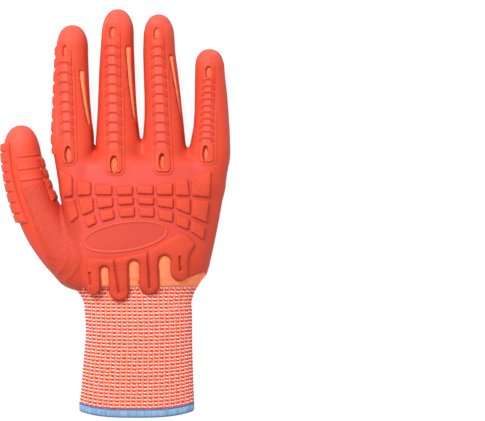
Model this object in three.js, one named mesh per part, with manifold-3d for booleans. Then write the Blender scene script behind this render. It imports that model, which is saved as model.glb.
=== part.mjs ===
// Impact glove for the right hand: a knitted liner with a ribbed cuff, dipped in rubber, with
// raised rubber guards on the fingers, thumb, knuckles and wrist, and pads on the palm side.
// It lies palm down. Millimetres, +Z up, fingers towards +Y, thumb towards -X.
import * as THREE from "three";
import { mergeVertices } from "three/addons/utils/BufferGeometryUtils.js";
import Module from "manifold-3d";

const wasm = await Module();
wasm.setup();

// Driving sizes of the hand
const palmLength = 87;
const palmWidth = 112;
const palmDepth = 38;
const cuffLength = 84;
const cuffWidth = 67;
const cuffDepth = 30;
const hemHeight = 5;
const hemSag = 4;
const knuckleHeight = 20.4;
const tipHeight = 10.1;

// Walls and clearances
const rubberWall = 1.4;
const knitWall = 1.2;
const cuffWall = 1.6;
const hemBulge = 0.6;
const gap = 0.3;

// Reliefs over the rubber
const guardBase = 0.9;
const ribHeight = 2.6;
const thumbBarHeight = 1.6;
const knuckleBase = 0.6;
const knuckleHeightOver = 2.2;
const badgeRimHeight = 1.2;
const badgeRimWidth = 1.4;
const combHeight = 1.8;
const padHeight = 0.8;
const grooveWidth = 1;
const slitWidth = 1;
const slotLow = 3.5;
const slotHigh = 5;

// Digits: root is the place of the base, as shares of the palm's width and length
const digits = {
  index: { length: 89.6, width: 23.7, depth: 21, lean: 1.1, root: { x: -0.371, y: 0.89 } },
  middle: { length: 99.8, width: 24.2, depth: 21.5, lean: 0.4, root: { x: -0.118, y: 0.89 } },
  ring: { length: 96.6, width: 22.7, depth: 21, lean: 2.5, root: { x: 0.146, y: 0.89 } },
  little: { length: 74.2, width: 22, depth: 20, lean: -0.8, root: { x: 0.395, y: 0.89 } },
  thumb: { length: 100, width: 26, depth: 21.5, lean: 0, root: { x: -0.246, y: 0.03 } },
};

// Sections of a finger: along its length, width and depth as shares of its own, and how far
// its centre has come down from the knuckle height to the tip height
const fingerRows = [
  { along: -0.15, wide: 0.9, deep: 1.25, fall: 0 },
  { along: 0.05, wide: 1.2, deep: 1.2, fall: 0.08 },
  { along: 0.45, wide: 1, deep: 1, fall: 0.6 },
  { along: 0.76, wide: 0.9, deep: 0.93, fall: 0.92 },
  { along: 0.905, wide: 0.79, deep: 0.84, fall: 1 },
];

// Sections of the thumb: its centre line runs up and towards the side, as shares of its length
const thumbRows = [
  { along: 0, side: 0, wide: 0.75, deep: 1.22, fall: 0.2 },
  { along: 0.122, side: -0.141, wide: 1.08, deep: 1.26, fall: 0.25 },
  { along: 0.288, side: -0.282, wide: 1.1, deep: 1.2, fall: 0.38 },
  { along: 0.48, side: -0.384, wide: 1.06, deep: 1.08, fall: 0.6 },
  { along: 0.672, side: -0.448, wide: 0.98, deep: 1, fall: 0.8 },
  { along: 0.87, side: -0.482, wide: 0.84, deep: 0.88, fall: 1 },
];
const domeTurn = 48;

// Sections of the palm, from the wrist up: along as a share of the palm's length, the two
// edges as shares of its width, depth and height of the centre as shares of its depth
const palmRows = [
  { along: 0.01, left: -0.335, right: 0.32, deep: 0.87, high: 0.445 },
  { along: 0.2, left: -0.425, right: 0.409, deep: 1, high: 0.522 },
  { along: 0.397, left: -0.447, right: 0.443, deep: 0.98, high: 0.53 },
  { along: 0.735, left: -0.461, right: 0.491, deep: 0.82, high: 0.55 },
  { along: 0.868, left: -0.455, right: 0.49, deep: 0.71, high: 0.55 },
  { along: 0.93, left: -0.43, right: 0.46, deep: 0.56, high: 0.55 },
  { along: 0.96, left: -0.4, right: 0.43, deep: 0.36, high: 0.55 },
];

// Sections of the cuff, from the hem up, as shares of the cuff's length, width and depth
const cuffRows = [
  { along: -0.05, left: -0.586, right: 0.532, deep: 1.02, high: 0.475 },
  { along: 0.13, left: -0.564, right: 0.525, deep: 1, high: 0.475 },
  { along: 0.66, left: -0.5, right: 0.497, deep: 1, high: 0.525 },
  { along: 0.8, left: -0.512, right: 0.497, deep: 1.02, high: 0.53 },
];

// Finger guards: first groove, pitch and count along the finger, the two oval holes, the base
// end, the guard's middle and half width as shares of the finger's half width
const guardRows = {
  index: { first: 0.727, pitch: 0.0695, grooves: 8, tipHole: 0.816, baseHole: 0.075,
    end: -0.015, middle: -0.3, half: 0.44 },
  middle: { first: 0.76, pitch: 0.0619, grooves: 11, tipHole: 0.849, baseHole: 0,
    end: -0.079, middle: -0.2, half: 0.46 },
  ring: { first: 0.779, pitch: 0.0634, grooves: 11, tipHole: 0.872, baseHole: 0.02,
    end: -0.073, middle: -0.06, half: 0.48 },
  little: { first: 0.728, pitch: 0.0565, grooves: 10, tipHole: 0.803, baseHole: 0.091,
    end: -0.005, middle: -0.14, half: 0.46 },
};
const guardTop = 0.935;
const grooveCorners = [0.5, 1, 2, 2.9];
const cutMargin = 1;
const holeHalfWidth = 1.7;
const tipHoleHalfLength = 3.8;
const baseHoleHalfLength = 5;

// Side slots that show the liner: which sides each finger has, and where they run
const slotRows = {
  index: { sides: [1], from: 0.27, to: 0.66 },
  middle: { sides: [-1, 1], from: 0.29, to: 0.76 },
  ring: { sides: [-1, 1], from: 0.32, to: 0.72 },
  little: { sides: [-1], from: 0.36, to: 0.72 },
};

// Sides of a slot cutter, as shares of the finger's half width
const slotReach = { from: 0.6, to: 1.3 };

// Knuckle blocks: column edges at the top row and at the bottom row, as shares of the palm's
// width, and the curves that bound the rows, as shares of its length
const knuckleColumns = [
  { top: -0.445, low: -0.375 },
  { top: -0.363, low: -0.325 },
  { top: -0.257, low: -0.23 },
  { top: -0.138, low: -0.124 },
  { top: -0.02, low: -0.007 },
  { top: 0.094, low: 0.103 },
  { top: 0.201, low: 0.206 },
  { top: 0.291, low: 0.296 },
  { top: 0.415, low: 0.372 },
];
const knuckleRows = [
  { upper: 0.732, upperBend: 0.64, lower: 0.67, lowerBend: -0.05, first: 0 },
  { upper: 0.652, upperBend: -0.11, lower: 0.6, lowerBend: -0.85, first: 0 },
  { upper: 0.578, upperBend: -0.92, lower: 0.512, lowerBend: -1.02, first: 1 },
];
const knuckleMiddle = -0.017;
const knuckleGroove = 1.2;

// Oval frame on the back of the hand
const badge = { x: -0.074, y: 0.364, halfLong: 0.24, halfWide: 0.103, tilt: 8.5 };

// Wrist guard: teeth and the gaps between them, as shares of the palm's width and length
const combTeeth = [
  { left: -0.291, right: -0.22, end: -0.055, slitTop: 0.103, slitEnd: 0.02 },
  { left: -0.163, right: -0.061, end: -0.096, slitTop: 0.25, slitEnd: -0.045 },
  { left: 0.011, right: 0.109, end: -0.05, slitTop: 0.3, slitEnd: -0.005 },
  { left: 0.191, right: 0.278, end: 0.048, slitTop: 0.22, slitEnd: 0.12 },
];
const combArches = [0.143, 0.189, 0.222];
const combTop = [
  { x: 0.281, y: 0.243 },
  { x: 0.322, y: 0.31 },
  { x: 0.263, y: 0.382 },
  { x: 0.233, y: 0.382 },
  { x: 0.05, y: 0.25 },
  { x: -0.14, y: 0.192 },
  { x: -0.291, y: 0.2 },
];
const combMargin = 1;
const toothTip = 0.6;
const teethTop = 0.6;

// Wrist edge of the rubber on the back, outside the teeth, and on the palm side
const backEdge = { left: 0.005, right: 0.1 };
const palmEdge = [
  { x: -0.6, y: -0.02 },
  { x: -0.36, y: -0.025 },
  { x: -0.32, y: 0.03 },
  { x: -0.27, y: -0.036 },
  { x: -0.17, y: -0.126 },
  { x: 0.03, y: -0.188 },
  { x: 0.18, y: -0.154 },
  { x: 0.287, y: -0.082 },
  { x: 0.345, y: 0.06 },
  { x: 0.6, y: 0.1 },
];

// Pads on the palm side of each digit: where they run, and half width as a share
const padRows = {
  index: { half: 0.4, spans: [[0.655, 0.895], [0.41, 0.62], [0.14, 0.37]] },
  middle: { half: 0.4, spans: [[0.68, 0.915], [0.43, 0.645], [0.16, 0.395]] },
  ring: { half: 0.4, spans: [[0.63, 0.875], [0.4, 0.6], [0.13, 0.365]] },
  little: { half: 0.4, spans: [[0.66, 0.915], [0.42, 0.6], [0.17, 0.38]] },
  thumb: { half: 0.6, spans: [[0.7, 0.9], [0.5, 0.675]] },
};

// Fields of the palm side, as shares of the palm's width and length
const palmFields = {
  finger_field: [[-0.4, 0.95], [-0.3, 0.98], [-0.2, 0.885], [-0.15, 0.96], [-0.08, 1.01],
    [0, 0.97], [0.05, 0.895], [0.1, 0.95], [0.18, 0.97], [0.3, 0.805], [0.4, 0.86],
    [0.445, 0.81], [0.415, 0.51], [0.16, 0.52], [-0.14, 0.635], [-0.39, 0.81]],
  crossing_field: [[-0.375, 0.69], [-0.34, 0.73], [-0.23, 0.66], [-0.1, 0.585], [0.03, 0.54],
    [0.2, 0.48], [0.4, 0.445], [0.345, 0.1], [0.31, 0.09], [0.25, 0.15], [0.12, 0.275],
    [-0.05, 0.41], [-0.27, 0.525], [-0.37, 0.59]],
  heel_field: [[-0.385, 0.545], [-0.27, 0.48], [-0.05, 0.365], [0.12, 0.23], [0.24, 0.115],
    [0.31, 0.03], [0.28, -0.06], [0.18, -0.13], [0.03, -0.165], [-0.17, -0.1],
    [-0.27, -0.01], [-0.34, 0.12], [-0.38, 0.3]],
};

// Toothed guards on the sides of the digits: corners count the corners of the digit's section,
// from its right side over its back, and lie between two of them where they are not whole
const sideGuards = {
  thumb_guard: { digit: "thumb", from: 0.3, to: 0.9, teeth: 8, height: 1.8,
    corners: [2.45, 3, 3.9] },
  thumb_web_guard: { digit: "thumb", from: 0.58, to: 0.84, teeth: 5, height: 1.5,
    corners: [7.1, 8, 8.5] },
  index_side_guard: { digit: "index", from: 0.08, to: 0.85, teeth: 9, height: 1.2,
    corners: [3.1, 3.9] },
};
const toothCrest = { from: 0.2, to: 0.6 };
// Bars on the face of the thumb, with their sides as shares of its half width
const thumbBars = [
  { name: "thumb_bar_tip", from: 0.81, to: 0.855, left: -0.45, right: 0.62 },
  { name: "thumb_bar_middle", from: 0.735, to: 0.79, left: -0.45, right: 0.66 },
  { name: "thumb_bar_low", from: 0.665, to: 0.715, left: -0.42, right: 0.7 },
  { name: "thumb_panel", from: 0.49, to: 0.645, left: -0.36, right: 0.66 },
];

const wristY = cuffLength;
const palmSides = 16;
const digitSides = 8;
const holeSides = 6;
const badgeSides = 14;
const sagSteps = 6;
const sagReach = 1.8;
const tall = 4 * palmDepth;
const palmRoundness = 2.5;
const digitRoundness = 2.15;

// A point of the palm's plan from its shares
function palmPoint(x, y) {
  return new THREE.Vector2(x * palmWidth, wristY + y * palmLength);
}

// Closed three.js geometry to a solid
function solidOf(geometry) {
  const bare = geometry.clone();
  bare.deleteAttribute("normal");
  bare.deleteAttribute("uv");
  const merged = mergeVertices(bare, 1e-5);
  const vertProperties = new Float32Array(merged.attributes.position.array);
  const triVerts = new Uint32Array(merged.index.array);
  return new wasm.Manifold(new wasm.Mesh({ numProp: 3, vertProperties, triVerts }));
}

// A closed body through rings of points, with both ends closed by a fan, or by a strip where
// the ring is a thin band that goes out along one side and comes back along the other
function loft(rings, { stripEnds = false, tip = null } = {}) {
  const sides = rings[0].length;
  const points = rings.flat();
  const ends = [rings[0], rings[rings.length - 1]].map((ring) => {
    const middle = new THREE.Vector3();
    ring.forEach((point) => middle.addScaledVector(point, 1 / sides));
    return middle;
  });
  const startFan = points.length;
  const endFan = startFan + 1;
  if (!stripEnds) points.push(ends[0], tip ?? ends[1]);
  const index = [];
  const last = (rings.length - 1) * sides;
  for (let side = 0; side < sides; side += 1) {
    const next = (side + 1) % sides;
    for (let row = 0; row < rings.length - 1; row += 1) {
      const a = row * sides;
      const b = a + sides;
      index.push(a + side, a + next, b + next, a + side, b + next, b + side);
    }
    if (!stripEnds) index.push(startFan, next, side, endFan, last + side, last + next);
  }
  for (let side = 0; stripEnds && side < sides / 2 - 1; side += 1) {
    const back = sides - 1 - side;
    index.push(side, back - 1, side + 1, side, back, back - 1);
    index.push(last + side, last + side + 1, last + back - 1);
    index.push(last + side, last + back - 1, last + back);
  }
  let volume = 0;
  for (let i = 0; i < index.length; i += 3) {
    const [p, q, r] = [points[index[i]], points[index[i + 1]], points[index[i + 2]]];
    volume += p.dot(q.clone().cross(r));
  }
  if (volume < 0) index.reverse();
  const geometry = new THREE.BufferGeometry().setFromPoints(points);
  geometry.setIndex(index);
  return solidOf(geometry);
}

// A ring of a rounded section, upright, across the plan direction "right", with a flat on top,
// below and on both sides
function sectionRing(centre, right, halfWide, halfDeep, sides, roundness) {
  const ring = [];
  const flat = Math.cos(Math.PI / sides) ** (2 / roundness);
  for (let side = 0; side < sides; side += 1) {
    const turn = (2 * Math.PI * (side + 0.5)) / sides;
    const across = Math.sign(Math.cos(turn)) * Math.abs(Math.cos(turn)) ** (2 / roundness) / flat;
    const up = Math.sign(Math.sin(turn)) * Math.abs(Math.sin(turn)) ** (2 / roundness) / flat;
    const point = centre.clone().addScaledVector(right, across * halfWide);
    point.z += up * halfDeep;
    ring.push(point);
  }
  return ring;
}

// Rings of the cuff and palm, grown outwards by "grow"
function sleeveRings(grow) {
  const sections = [];
  for (const row of cuffRows) {
    sections.push({ y: row.along * cuffLength, left: row.left * cuffWidth,
      right: row.right * cuffWidth, deep: row.deep * cuffDepth, high: row.high * cuffDepth });
  }
  for (const row of palmRows) {
    sections.push({ y: wristY + row.along * palmLength, left: row.left * palmWidth,
      right: row.right * palmWidth, deep: row.deep * palmDepth, high: row.high * palmDepth });
  }
  return sections.map((at, place) => {
    const y = place === sections.length - 1 ? at.y + grow : at.y;
    const centre = new THREE.Vector3((at.left + at.right) / 2, y, at.high);
    const halfWide = (at.right - at.left) / 2 + grow;
    const right = new THREE.Vector3(1, 0, 0);
    return sectionRing(centre, right, halfWide, at.deep / 2 + grow, palmSides, palmRoundness);
  });
}

// Sections of one digit with their centres, directions and half sizes
function digitSections(name) {
  const digit = digits[name];
  const rows = name === "thumb" ? thumbRows : fingerRows;
  const root = palmPoint(digit.root.x, digit.root.y);
  const lean = THREE.MathUtils.degToRad(digit.lean);
  const sections = rows.map((row) => {
    const ahead = row.along * digit.length;
    const aside = (row.side ?? 0) * digit.length;
    const centre = new THREE.Vector3(root.x + aside * Math.cos(lean) - ahead * Math.sin(lean),
      root.y + aside * Math.sin(lean) + ahead * Math.cos(lean),
      knuckleHeight + (tipHeight - knuckleHeight) * row.fall);
    return { along: row.along, centre, halfWide: (row.wide * digit.width) / 2,
      halfDeep: (row.deep * digit.depth) / 2 };
  });
  sections.forEach((section, place) => {
    const before = sections[Math.max(place - 1, 0)].centre;
    const after = sections[Math.min(place + 1, sections.length - 1)].centre;
    const ahead = after.clone().sub(before).setZ(0).normalize();
    section.ahead = ahead;
    section.right = new THREE.Vector3(ahead.y, -ahead.x, 0);
  });
  return sections;
}

const sectionsOf = {};
for (const name of Object.keys(digits)) sectionsOf[name] = digitSections(name);

// Place on a digit, between its sections or carried straight on past them
function digitAt(name, along) {
  const sections = sectionsOf[name];
  const length = digits[name].length;
  const first = sections[0];
  const last = sections[sections.length - 1];
  const end = along < first.along ? first : last;
  if (along <= first.along || along >= last.along) {
    const centre = end.centre.clone().addScaledVector(end.ahead, (along - end.along) * length);
    return { ...end, centre };
  }
  const place = sections.findIndex((section) => section.along > along);
  const [low, high] = [sections[place - 1], sections[place]];
  const share = (along - low.along) / (high.along - low.along);
  return {
    centre: low.centre.clone().lerp(high.centre, share),
    ahead: low.ahead.clone().lerp(high.ahead, share).normalize(),
    right: low.right.clone().lerp(high.right, share).normalize(),
    halfWide: THREE.MathUtils.lerp(low.halfWide, high.halfWide, share),
    halfDeep: THREE.MathUtils.lerp(low.halfDeep, high.halfDeep, share),
  };
}

// Body of a digit with its domed tip, grown outwards by "grow"
function digitBody(name, grow) {
  const sections = sectionsOf[name];
  const rings = sections.map((at, place) => {
    const centre = at.centre.clone().addScaledVector(at.ahead, place === 0 ? -grow : 0);
    return sectionRing(centre, at.right, at.halfWide + grow, at.halfDeep + grow, digitSides,
      digitRoundness);
  });
  const last = sections[sections.length - 1];
  const dome = (1 - last.along) * digits[name].length + grow;
  const turn = THREE.MathUtils.degToRad(domeTurn);
  const centre = last.centre.clone().addScaledVector(last.ahead, dome * Math.sin(turn));
  rings.push(sectionRing(centre, last.right, (last.halfWide + grow) * Math.cos(turn),
    (last.halfDeep + grow) * Math.cos(turn), digitSides, digitRoundness));
  return loft(rings, { tip: last.centre.clone().addScaledVector(last.ahead, dome) });
}

// The whole hand with its cuff as one body, kept once for each amount that it is grown by
const hands = new Map();
function hand(grow) {
  if (!hands.has(grow)) {
    let body = loft(sleeveRings(grow));
    for (const name of Object.keys(digits)) body = body.add(digitBody(name, grow));
    hands.set(grow, body);
  }
  return hands.get(grow);
}

// The layer of the hand between two distances over the rubber
function layer(low, high) {
  return hand(high).subtract(hand(low));
}

// An upright prism over a plan outline, between two heights
function prism(outline, low, high) {
  const shape = new THREE.Shape(outline);
  const geometry = new THREE.ExtrudeGeometry(shape, { depth: high - low, bevelEnabled: false });
  geometry.translate(0, 0, low);
  return solidOf(geometry);
}

// A block that follows a digit between two places along it, with its sides as shares of the
// half width, and its floor and ceiling in millimetres from the digit's centre
function digitBlock(name, from, to, left, right, low, high) {
  const marks = sectionsOf[name].map((section) => section.along);
  const stations = [from, ...marks.filter((mark) => mark > from && mark < to), to];
  const rings = stations.map((along) => {
    const at = digitAt(name, along);
    return [[left, low], [right, low], [right, high], [left, high]].map(([across, up]) => {
      const point = at.centre.clone().addScaledVector(at.right, across * at.halfWide);
      point.z += up;
      return point;
    });
  });
  return loft(rings);
}

// A plan oval on a digit
function digitOval(name, along, across, halfWide, halfLong) {
  const at = digitAt(name, along);
  const outline = [];
  for (let side = 0; side < holeSides; side += 1) {
    const turn = (2 * Math.PI * side) / holeSides;
    const point = at.centre.clone().addScaledVector(at.right, across * at.halfWide);
    point.addScaledVector(at.right, halfWide * Math.cos(turn));
    point.addScaledVector(at.ahead, halfLong * Math.sin(turn));
    outline.push(new THREE.Vector2(point.x, point.y));
  }
  return prism(outline, at.centre.z, tall);
}

// Holes through guard and rubber at both ends of a finger guard
function guardHoles(name) {
  const row = guardRows[name];
  const tip = digitOval(name, row.tipHole, row.middle, holeHalfWidth, tipHoleHalfLength);
  const base = digitOval(name, row.baseHole, row.middle, holeHalfWidth, baseHoleHalfLength);
  return tip.add(base);
}

// A V groove across the back of a finger
function grooveCutter(name, along) {
  const at = digitAt(name, along);
  const ceiling = ribHeight + cutMargin;
  const spread = (grooveWidth / 2) * ((ceiling - guardBase) / (ribHeight - guardBase));
  const rings = grooveCorners.map((corner) => {
    const bottom = overDigit(name, along, corner, guardBase);
    const top = overDigit(name, along, corner, ceiling);
    return [bottom, top.clone().addScaledVector(at.ahead, -spread),
      top.clone().addScaledVector(at.ahead, spread)];
  });
  return loft(rings);
}

// Ribbed guard on the back of one finger
function fingerGuard(name) {
  const row = guardRows[name];
  const left = row.middle - row.half;
  const right = row.middle + row.half;
  const strip = digitBlock(name, row.end, guardTop, left, right, 0, tall);
  let guard = layer(gap, ribHeight).intersect(strip);
  for (let groove = 0; groove < row.grooves; groove += 1) {
    guard = guard.subtract(grooveCutter(name, row.first - groove * row.pitch));
  }
  return guard.subtract(guardHoles(name));
}

// A point over the surface of a digit, at a place along it and a place on its section
function overDigit(name, along, corner, grow) {
  const at = digitAt(name, along);
  const ring = sectionRing(at.centre, at.right, at.halfWide + grow, at.halfDeep + grow,
    digitSides, digitRoundness);
  const low = Math.floor(corner);
  return ring[low % digitSides].lerp(ring[(low + 1) % digitSides], corner - low);
}

// A toothed strip on the side of a digit, between corners of its section
function toothedStrip(guard) {
  const pitch = (guard.to - guard.from) / guard.teeth;
  const profile = [];
  for (let tooth = 0; tooth < guard.teeth; tooth += 1) {
    const start = guard.from + tooth * pitch;
    profile.push({ along: start, height: guardBase });
    profile.push({ along: start + toothCrest.from * pitch, height: guard.height });
    profile.push({ along: start + toothCrest.to * pitch, height: guard.height });
  }
  profile.push({ along: guard.to, height: guardBase });
  for (const { along } of sectionsOf[guard.digit]) {
    const after = profile.findIndex((stop) => stop.along > along);
    if (after < 1) continue;
    const [low, high] = [profile[after - 1], profile[after]];
    const share = (along - low.along) / (high.along - low.along);
    const height = THREE.MathUtils.lerp(low.height, high.height, share);
    profile.splice(after, 0, { along, height });
  }
  const rings = profile.map(({ along, height }) => [
    ...guard.corners.map((corner) => overDigit(guard.digit, along, corner, gap)),
    ...guard.corners.map((corner) => overDigit(guard.digit, along, corner, height)).reverse(),
  ]);
  return loft(rings, { stripEnds: true });
}

// Side slots through the rubber
function sideSlots() {
  const slots = [];
  for (const [name, row] of Object.entries(slotRows)) {
    for (const side of row.sides) {
      const [left, right] = [side * slotReach.from, side * slotReach.to].sort((a, b) => a - b);
      slots.push(digitBlock(name, row.from, row.to, left, right, -slotLow, slotHigh));
    }
  }
  return slots;
}

// Outline of the wrist guard in plan, grown outwards at the teeth by "margin"
function combOutline(margin, top) {
  const outline = [];
  combTeeth.forEach((tooth, place) => {
    const left = palmPoint(tooth.left, tooth.end);
    const right = palmPoint(tooth.right, tooth.end);
    const round = (right.x - left.x) / 2 + margin;
    const low = left.y - margin;
    outline.push(new THREE.Vector2(left.x - margin, low + round));
    outline.push(new THREE.Vector2(left.x - margin + round * toothTip, low));
    outline.push(new THREE.Vector2(right.x + margin - round * toothTip, low));
    outline.push(new THREE.Vector2(right.x + margin, low + round));
    if (place < combArches.length) {
      const next = palmPoint(combTeeth[place + 1].left, combArches[place]);
      const middle = (right.x + next.x) / 2;
      const reach = (next.x - right.x) / 2 - margin;
      outline.push(new THREE.Vector2(right.x + margin, next.y - margin - reach));
      outline.push(new THREE.Vector2(middle, next.y - margin));
      outline.push(new THREE.Vector2(next.x - margin, next.y - margin - reach));
    }
  });
  top.forEach((point) => outline.push(point));
  return outline;
}

// What the wrist edge takes off the rubber on the back and on the palm side
function wristCutters() {
  const start = -cuffLength;
  const side = palmWidth;
  const leftEdge = wristY + backEdge.left * palmLength;
  const rightEdge = wristY + backEdge.right * palmLength;
  const first = combTeeth[0];
  const last = combTeeth[combTeeth.length - 1];
  const teeth = combOutline(combMargin, [
    palmPoint(last.right, teethTop).add(new THREE.Vector2(combMargin, 0)),
    palmPoint(first.left, teethTop).sub(new THREE.Vector2(combMargin, 0)),
  ]);
  const back = [
    new THREE.Vector2(-side, start),
    new THREE.Vector2(side, start),
    new THREE.Vector2(side, rightEdge),
    new THREE.Vector2(palmPoint(last.right, 0).x, rightEdge - combMargin),
    palmPoint(last.left, combArches[2]),
    palmPoint(first.right, combArches[0]),
    new THREE.Vector2(palmPoint(first.left, 0).x, leftEdge),
    new THREE.Vector2(-side, leftEdge),
  ];
  const palm = [
    new THREE.Vector2(-side, start),
    new THREE.Vector2(side, start),
    ...palmEdge.map((point) => palmPoint(point.x, point.y)).reverse(),
  ];
  const middle = palmRows[0].high * palmDepth;
  return [
    prism(back, middle, tall).subtract(prism(teeth, middle - gap, tall + gap)),
    prism(palm, -tall, middle),
  ];
}

// Cut across the cuff at "y", which rises towards its sides by the sag of the hem
function acrossCuff(y, below) {
  const outline = [];
  const hemHalf = (cuffWidth * (cuffRows[0].right - cuffRows[0].left)) / 2;
  for (let step = 0; step <= sagSteps; step += 1) {
    const share = sagReach * ((2 * step) / sagSteps - 1);
    outline.push(new THREE.Vector2(share * hemHalf, y + hemSag * share * share));
  }
  const end = below ? -palmLength : y + wristY;
  outline.push(new THREE.Vector2(2 * palmWidth, outline[sagSteps].y));
  outline.push(new THREE.Vector2(2 * palmWidth, end));
  outline.push(new THREE.Vector2(-2 * palmWidth, end));
  outline.push(new THREE.Vector2(-2 * palmWidth, outline[0].y));
  return prism(outline, -tall, tall);
}

// A straight block over all the width, from one place along the glove to another
function acrossHand(from, to) {
  const side = 2 * palmWidth;
  return prism([new THREE.Vector2(-side, from), new THREE.Vector2(side, from),
    new THREE.Vector2(side, to), new THREE.Vector2(-side, to)], -tall, tall);
}

// Height of a curve that bounds a row of knuckle blocks
function knuckleCurve(height, bend, x) {
  return height + bend * (x - knuckleMiddle) ** 2;
}

// Place across the hand of a column's edge at a height
function knuckleEdge(column, height) {
  const share = (knuckleRows[0].upper - height) / (knuckleRows[0].upper - knuckleRows[2].lower);
  const { top, low } = knuckleColumns[column];
  return top + (low - top) * THREE.MathUtils.clamp(share, 0, 1);
}

// Plan corners of one knuckle block, pulled in by half a groove
function knuckleBlock(row, column) {
  const inset = knuckleGroove / 2 / palmWidth;
  const corners = [[column, row.upper, row.upperBend, 1], [column + 1, row.upper, row.upperBend, -1],
    [column + 1, row.lower, row.lowerBend, -1], [column, row.lower, row.lowerBend, 1]];
  return corners.map(([edge, height, bend, inward]) => {
    const x = knuckleEdge(edge, height) + inward * inset;
    return palmPoint(x, knuckleCurve(height, bend, x));
  });
}

// Three rows of raised blocks on a thin base
function knuckleGuard() {
  const low = knuckleRows[0];
  const end = knuckleRows[2];
  const outline = [];
  for (let column = 0; column < knuckleColumns.length; column += 1) {
    const x = knuckleEdge(column, low.upper);
    outline.push(palmPoint(x, knuckleCurve(low.upper, low.upperBend, x)));
  }
  for (let column = knuckleColumns.length - 1; column >= 0; column -= 1) {
    const x = knuckleEdge(column, end.lower);
    outline.push(palmPoint(x, knuckleCurve(end.lower, end.lowerBend, x)));
  }
  const middle = knuckleHeight;
  let guard = layer(gap, knuckleBase).intersect(prism(outline, middle, tall));
  const crown = layer(gap, knuckleHeightOver);
  for (const row of knuckleRows) {
    for (let column = row.first; column < knuckleColumns.length - 1; column += 1) {
      guard = guard.add(crown.intersect(prism(knuckleBlock(row, column), middle, tall)));
    }
  }
  return guard;
}

// Plan oval of the badge frame
function badgeOval(halfLong, halfWide) {
  const tilt = THREE.MathUtils.degToRad(badge.tilt);
  const centre = palmPoint(badge.x, badge.y);
  const outline = [];
  for (let side = 0; side < badgeSides; side += 1) {
    const turn = (2 * Math.PI * side) / badgeSides;
    const point = new THREE.Vector2(halfLong * Math.cos(turn), halfWide * Math.sin(turn));
    outline.push(point.rotateAround(new THREE.Vector2(), tilt).add(centre));
  }
  return outline;
}

function badgeFrame() {
  const halfLong = badge.halfLong * palmWidth;
  const halfWide = badge.halfWide * palmLength;
  const ring = prism(badgeOval(halfLong, halfWide), knuckleHeight, tall).subtract(
    prism(badgeOval(halfLong - badgeRimWidth, halfWide - badgeRimWidth), 0, tall + gap));
  return layer(gap, badgeRimHeight).intersect(ring);
}

// Toothed guard at the wrist, with a slit in each tooth
function wristComb() {
  const outline = combOutline(0, combTop.map((point) => palmPoint(point.x, point.y)));
  const middle = palmRows[0].high * palmDepth;
  let comb = layer(gap, combHeight).intersect(prism(outline, middle, tall));
  for (const tooth of combTeeth) {
    const top = palmPoint((tooth.left + tooth.right) / 2, tooth.slitTop);
    const end = palmPoint((tooth.left + tooth.right) / 2, tooth.slitEnd);
    const half = slitWidth / 2;
    comb = comb.subtract(prism([new THREE.Vector2(end.x - half, end.y),
      new THREE.Vector2(end.x + half, end.y), new THREE.Vector2(top.x + half, top.y),
      new THREE.Vector2(top.x - half, top.y)], 0, tall + gap));
  }
  return comb;
}

const colours = {
  rubber: "#e8502f",
  raised: "#ee5530",
  knit: "#ff9a66",
  cuff: "#f79a78",
  hem: "#86aedd",
};
const roughnesses = { rubber: 0.5, raised: 0.6, knit: 0.95, cuff: 0.95, hem: 0.9 };

const glove = new THREE.Group();
glove.name = "impact_glove";

// Adds one solid to the glove as a named mesh
function addPiece(name, solid, finish) {
  const mesh = solid.getMesh();
  const geometry = new THREE.BufferGeometry();
  geometry.setAttribute("position", new THREE.BufferAttribute(mesh.vertProperties, 3));
  geometry.setIndex(new THREE.BufferAttribute(mesh.triVerts, 1));
  const material = new THREE.MeshStandardMaterial({
    color: colours[finish],
    roughness: roughnesses[finish],
    metalness: 0,
  });
  const piece = new THREE.Mesh(geometry, material);
  piece.name = name;
  glove.add(piece);
}

// What lies under the surface that the glove rests on is pressed flat
const underFloor = prism([new THREE.Vector2(-2 * palmWidth, -palmLength),
  new THREE.Vector2(2 * palmWidth, -palmLength),
  new THREE.Vector2(2 * palmWidth, 4 * (palmLength + cuffLength)),
  new THREE.Vector2(-2 * palmWidth, 4 * (palmLength + cuffLength))], -tall, 0);

// Liner, cuff and hem
const linerOut = -rubberWall - gap;
const liner = layer(linerOut - knitWall, linerOut);
addPiece("knit_hand", liner.intersect(acrossHand(wristY, 4 * wristY)), "knit");
const cuff = layer(linerOut - cuffWall, linerOut).intersect(acrossHand(-palmLength, wristY - gap));
addPiece("knit_cuff", cuff.subtract(acrossCuff(hemHeight + gap, true)), "cuff");
const hemBand = layer(linerOut - cuffWall, linerOut + hemBulge + gap);
const hem = hemBand.intersect(acrossHand(-palmLength, wristY / 2));
addPiece("cuff_hem",
  hem.subtract(acrossCuff(0, true)).subtract(acrossCuff(hemHeight, false)).subtract(underFloor),
  "hem");

// Rubber shell
let shell = layer(-rubberWall, 0);
for (const cutter of [...wristCutters(), ...sideSlots()]) shell = shell.subtract(cutter);
for (const name of Object.keys(guardRows)) shell = shell.subtract(guardHoles(name));
addPiece("rubber_shell", shell.subtract(underFloor), "rubber");

// Guards on the back
for (const name of Object.keys(guardRows)) {
  addPiece(`finger_guard_${name}`, fingerGuard(name), "raised");
}
for (const [name, guard] of Object.entries(sideGuards)) {
  addPiece(name, toothedStrip(guard), "raised");
}
for (const bar of thumbBars) {
  const block = digitBlock("thumb", bar.from, bar.to, bar.left, bar.right, 0, tall);
  addPiece(bar.name, layer(gap, thumbBarHeight).intersect(block), "raised");
}
addPiece("knuckle_guard", knuckleGuard(), "raised");
addPiece("badge_frame", badgeFrame(), "raised");
addPiece("wrist_comb", wristComb(), "raised");

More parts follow.
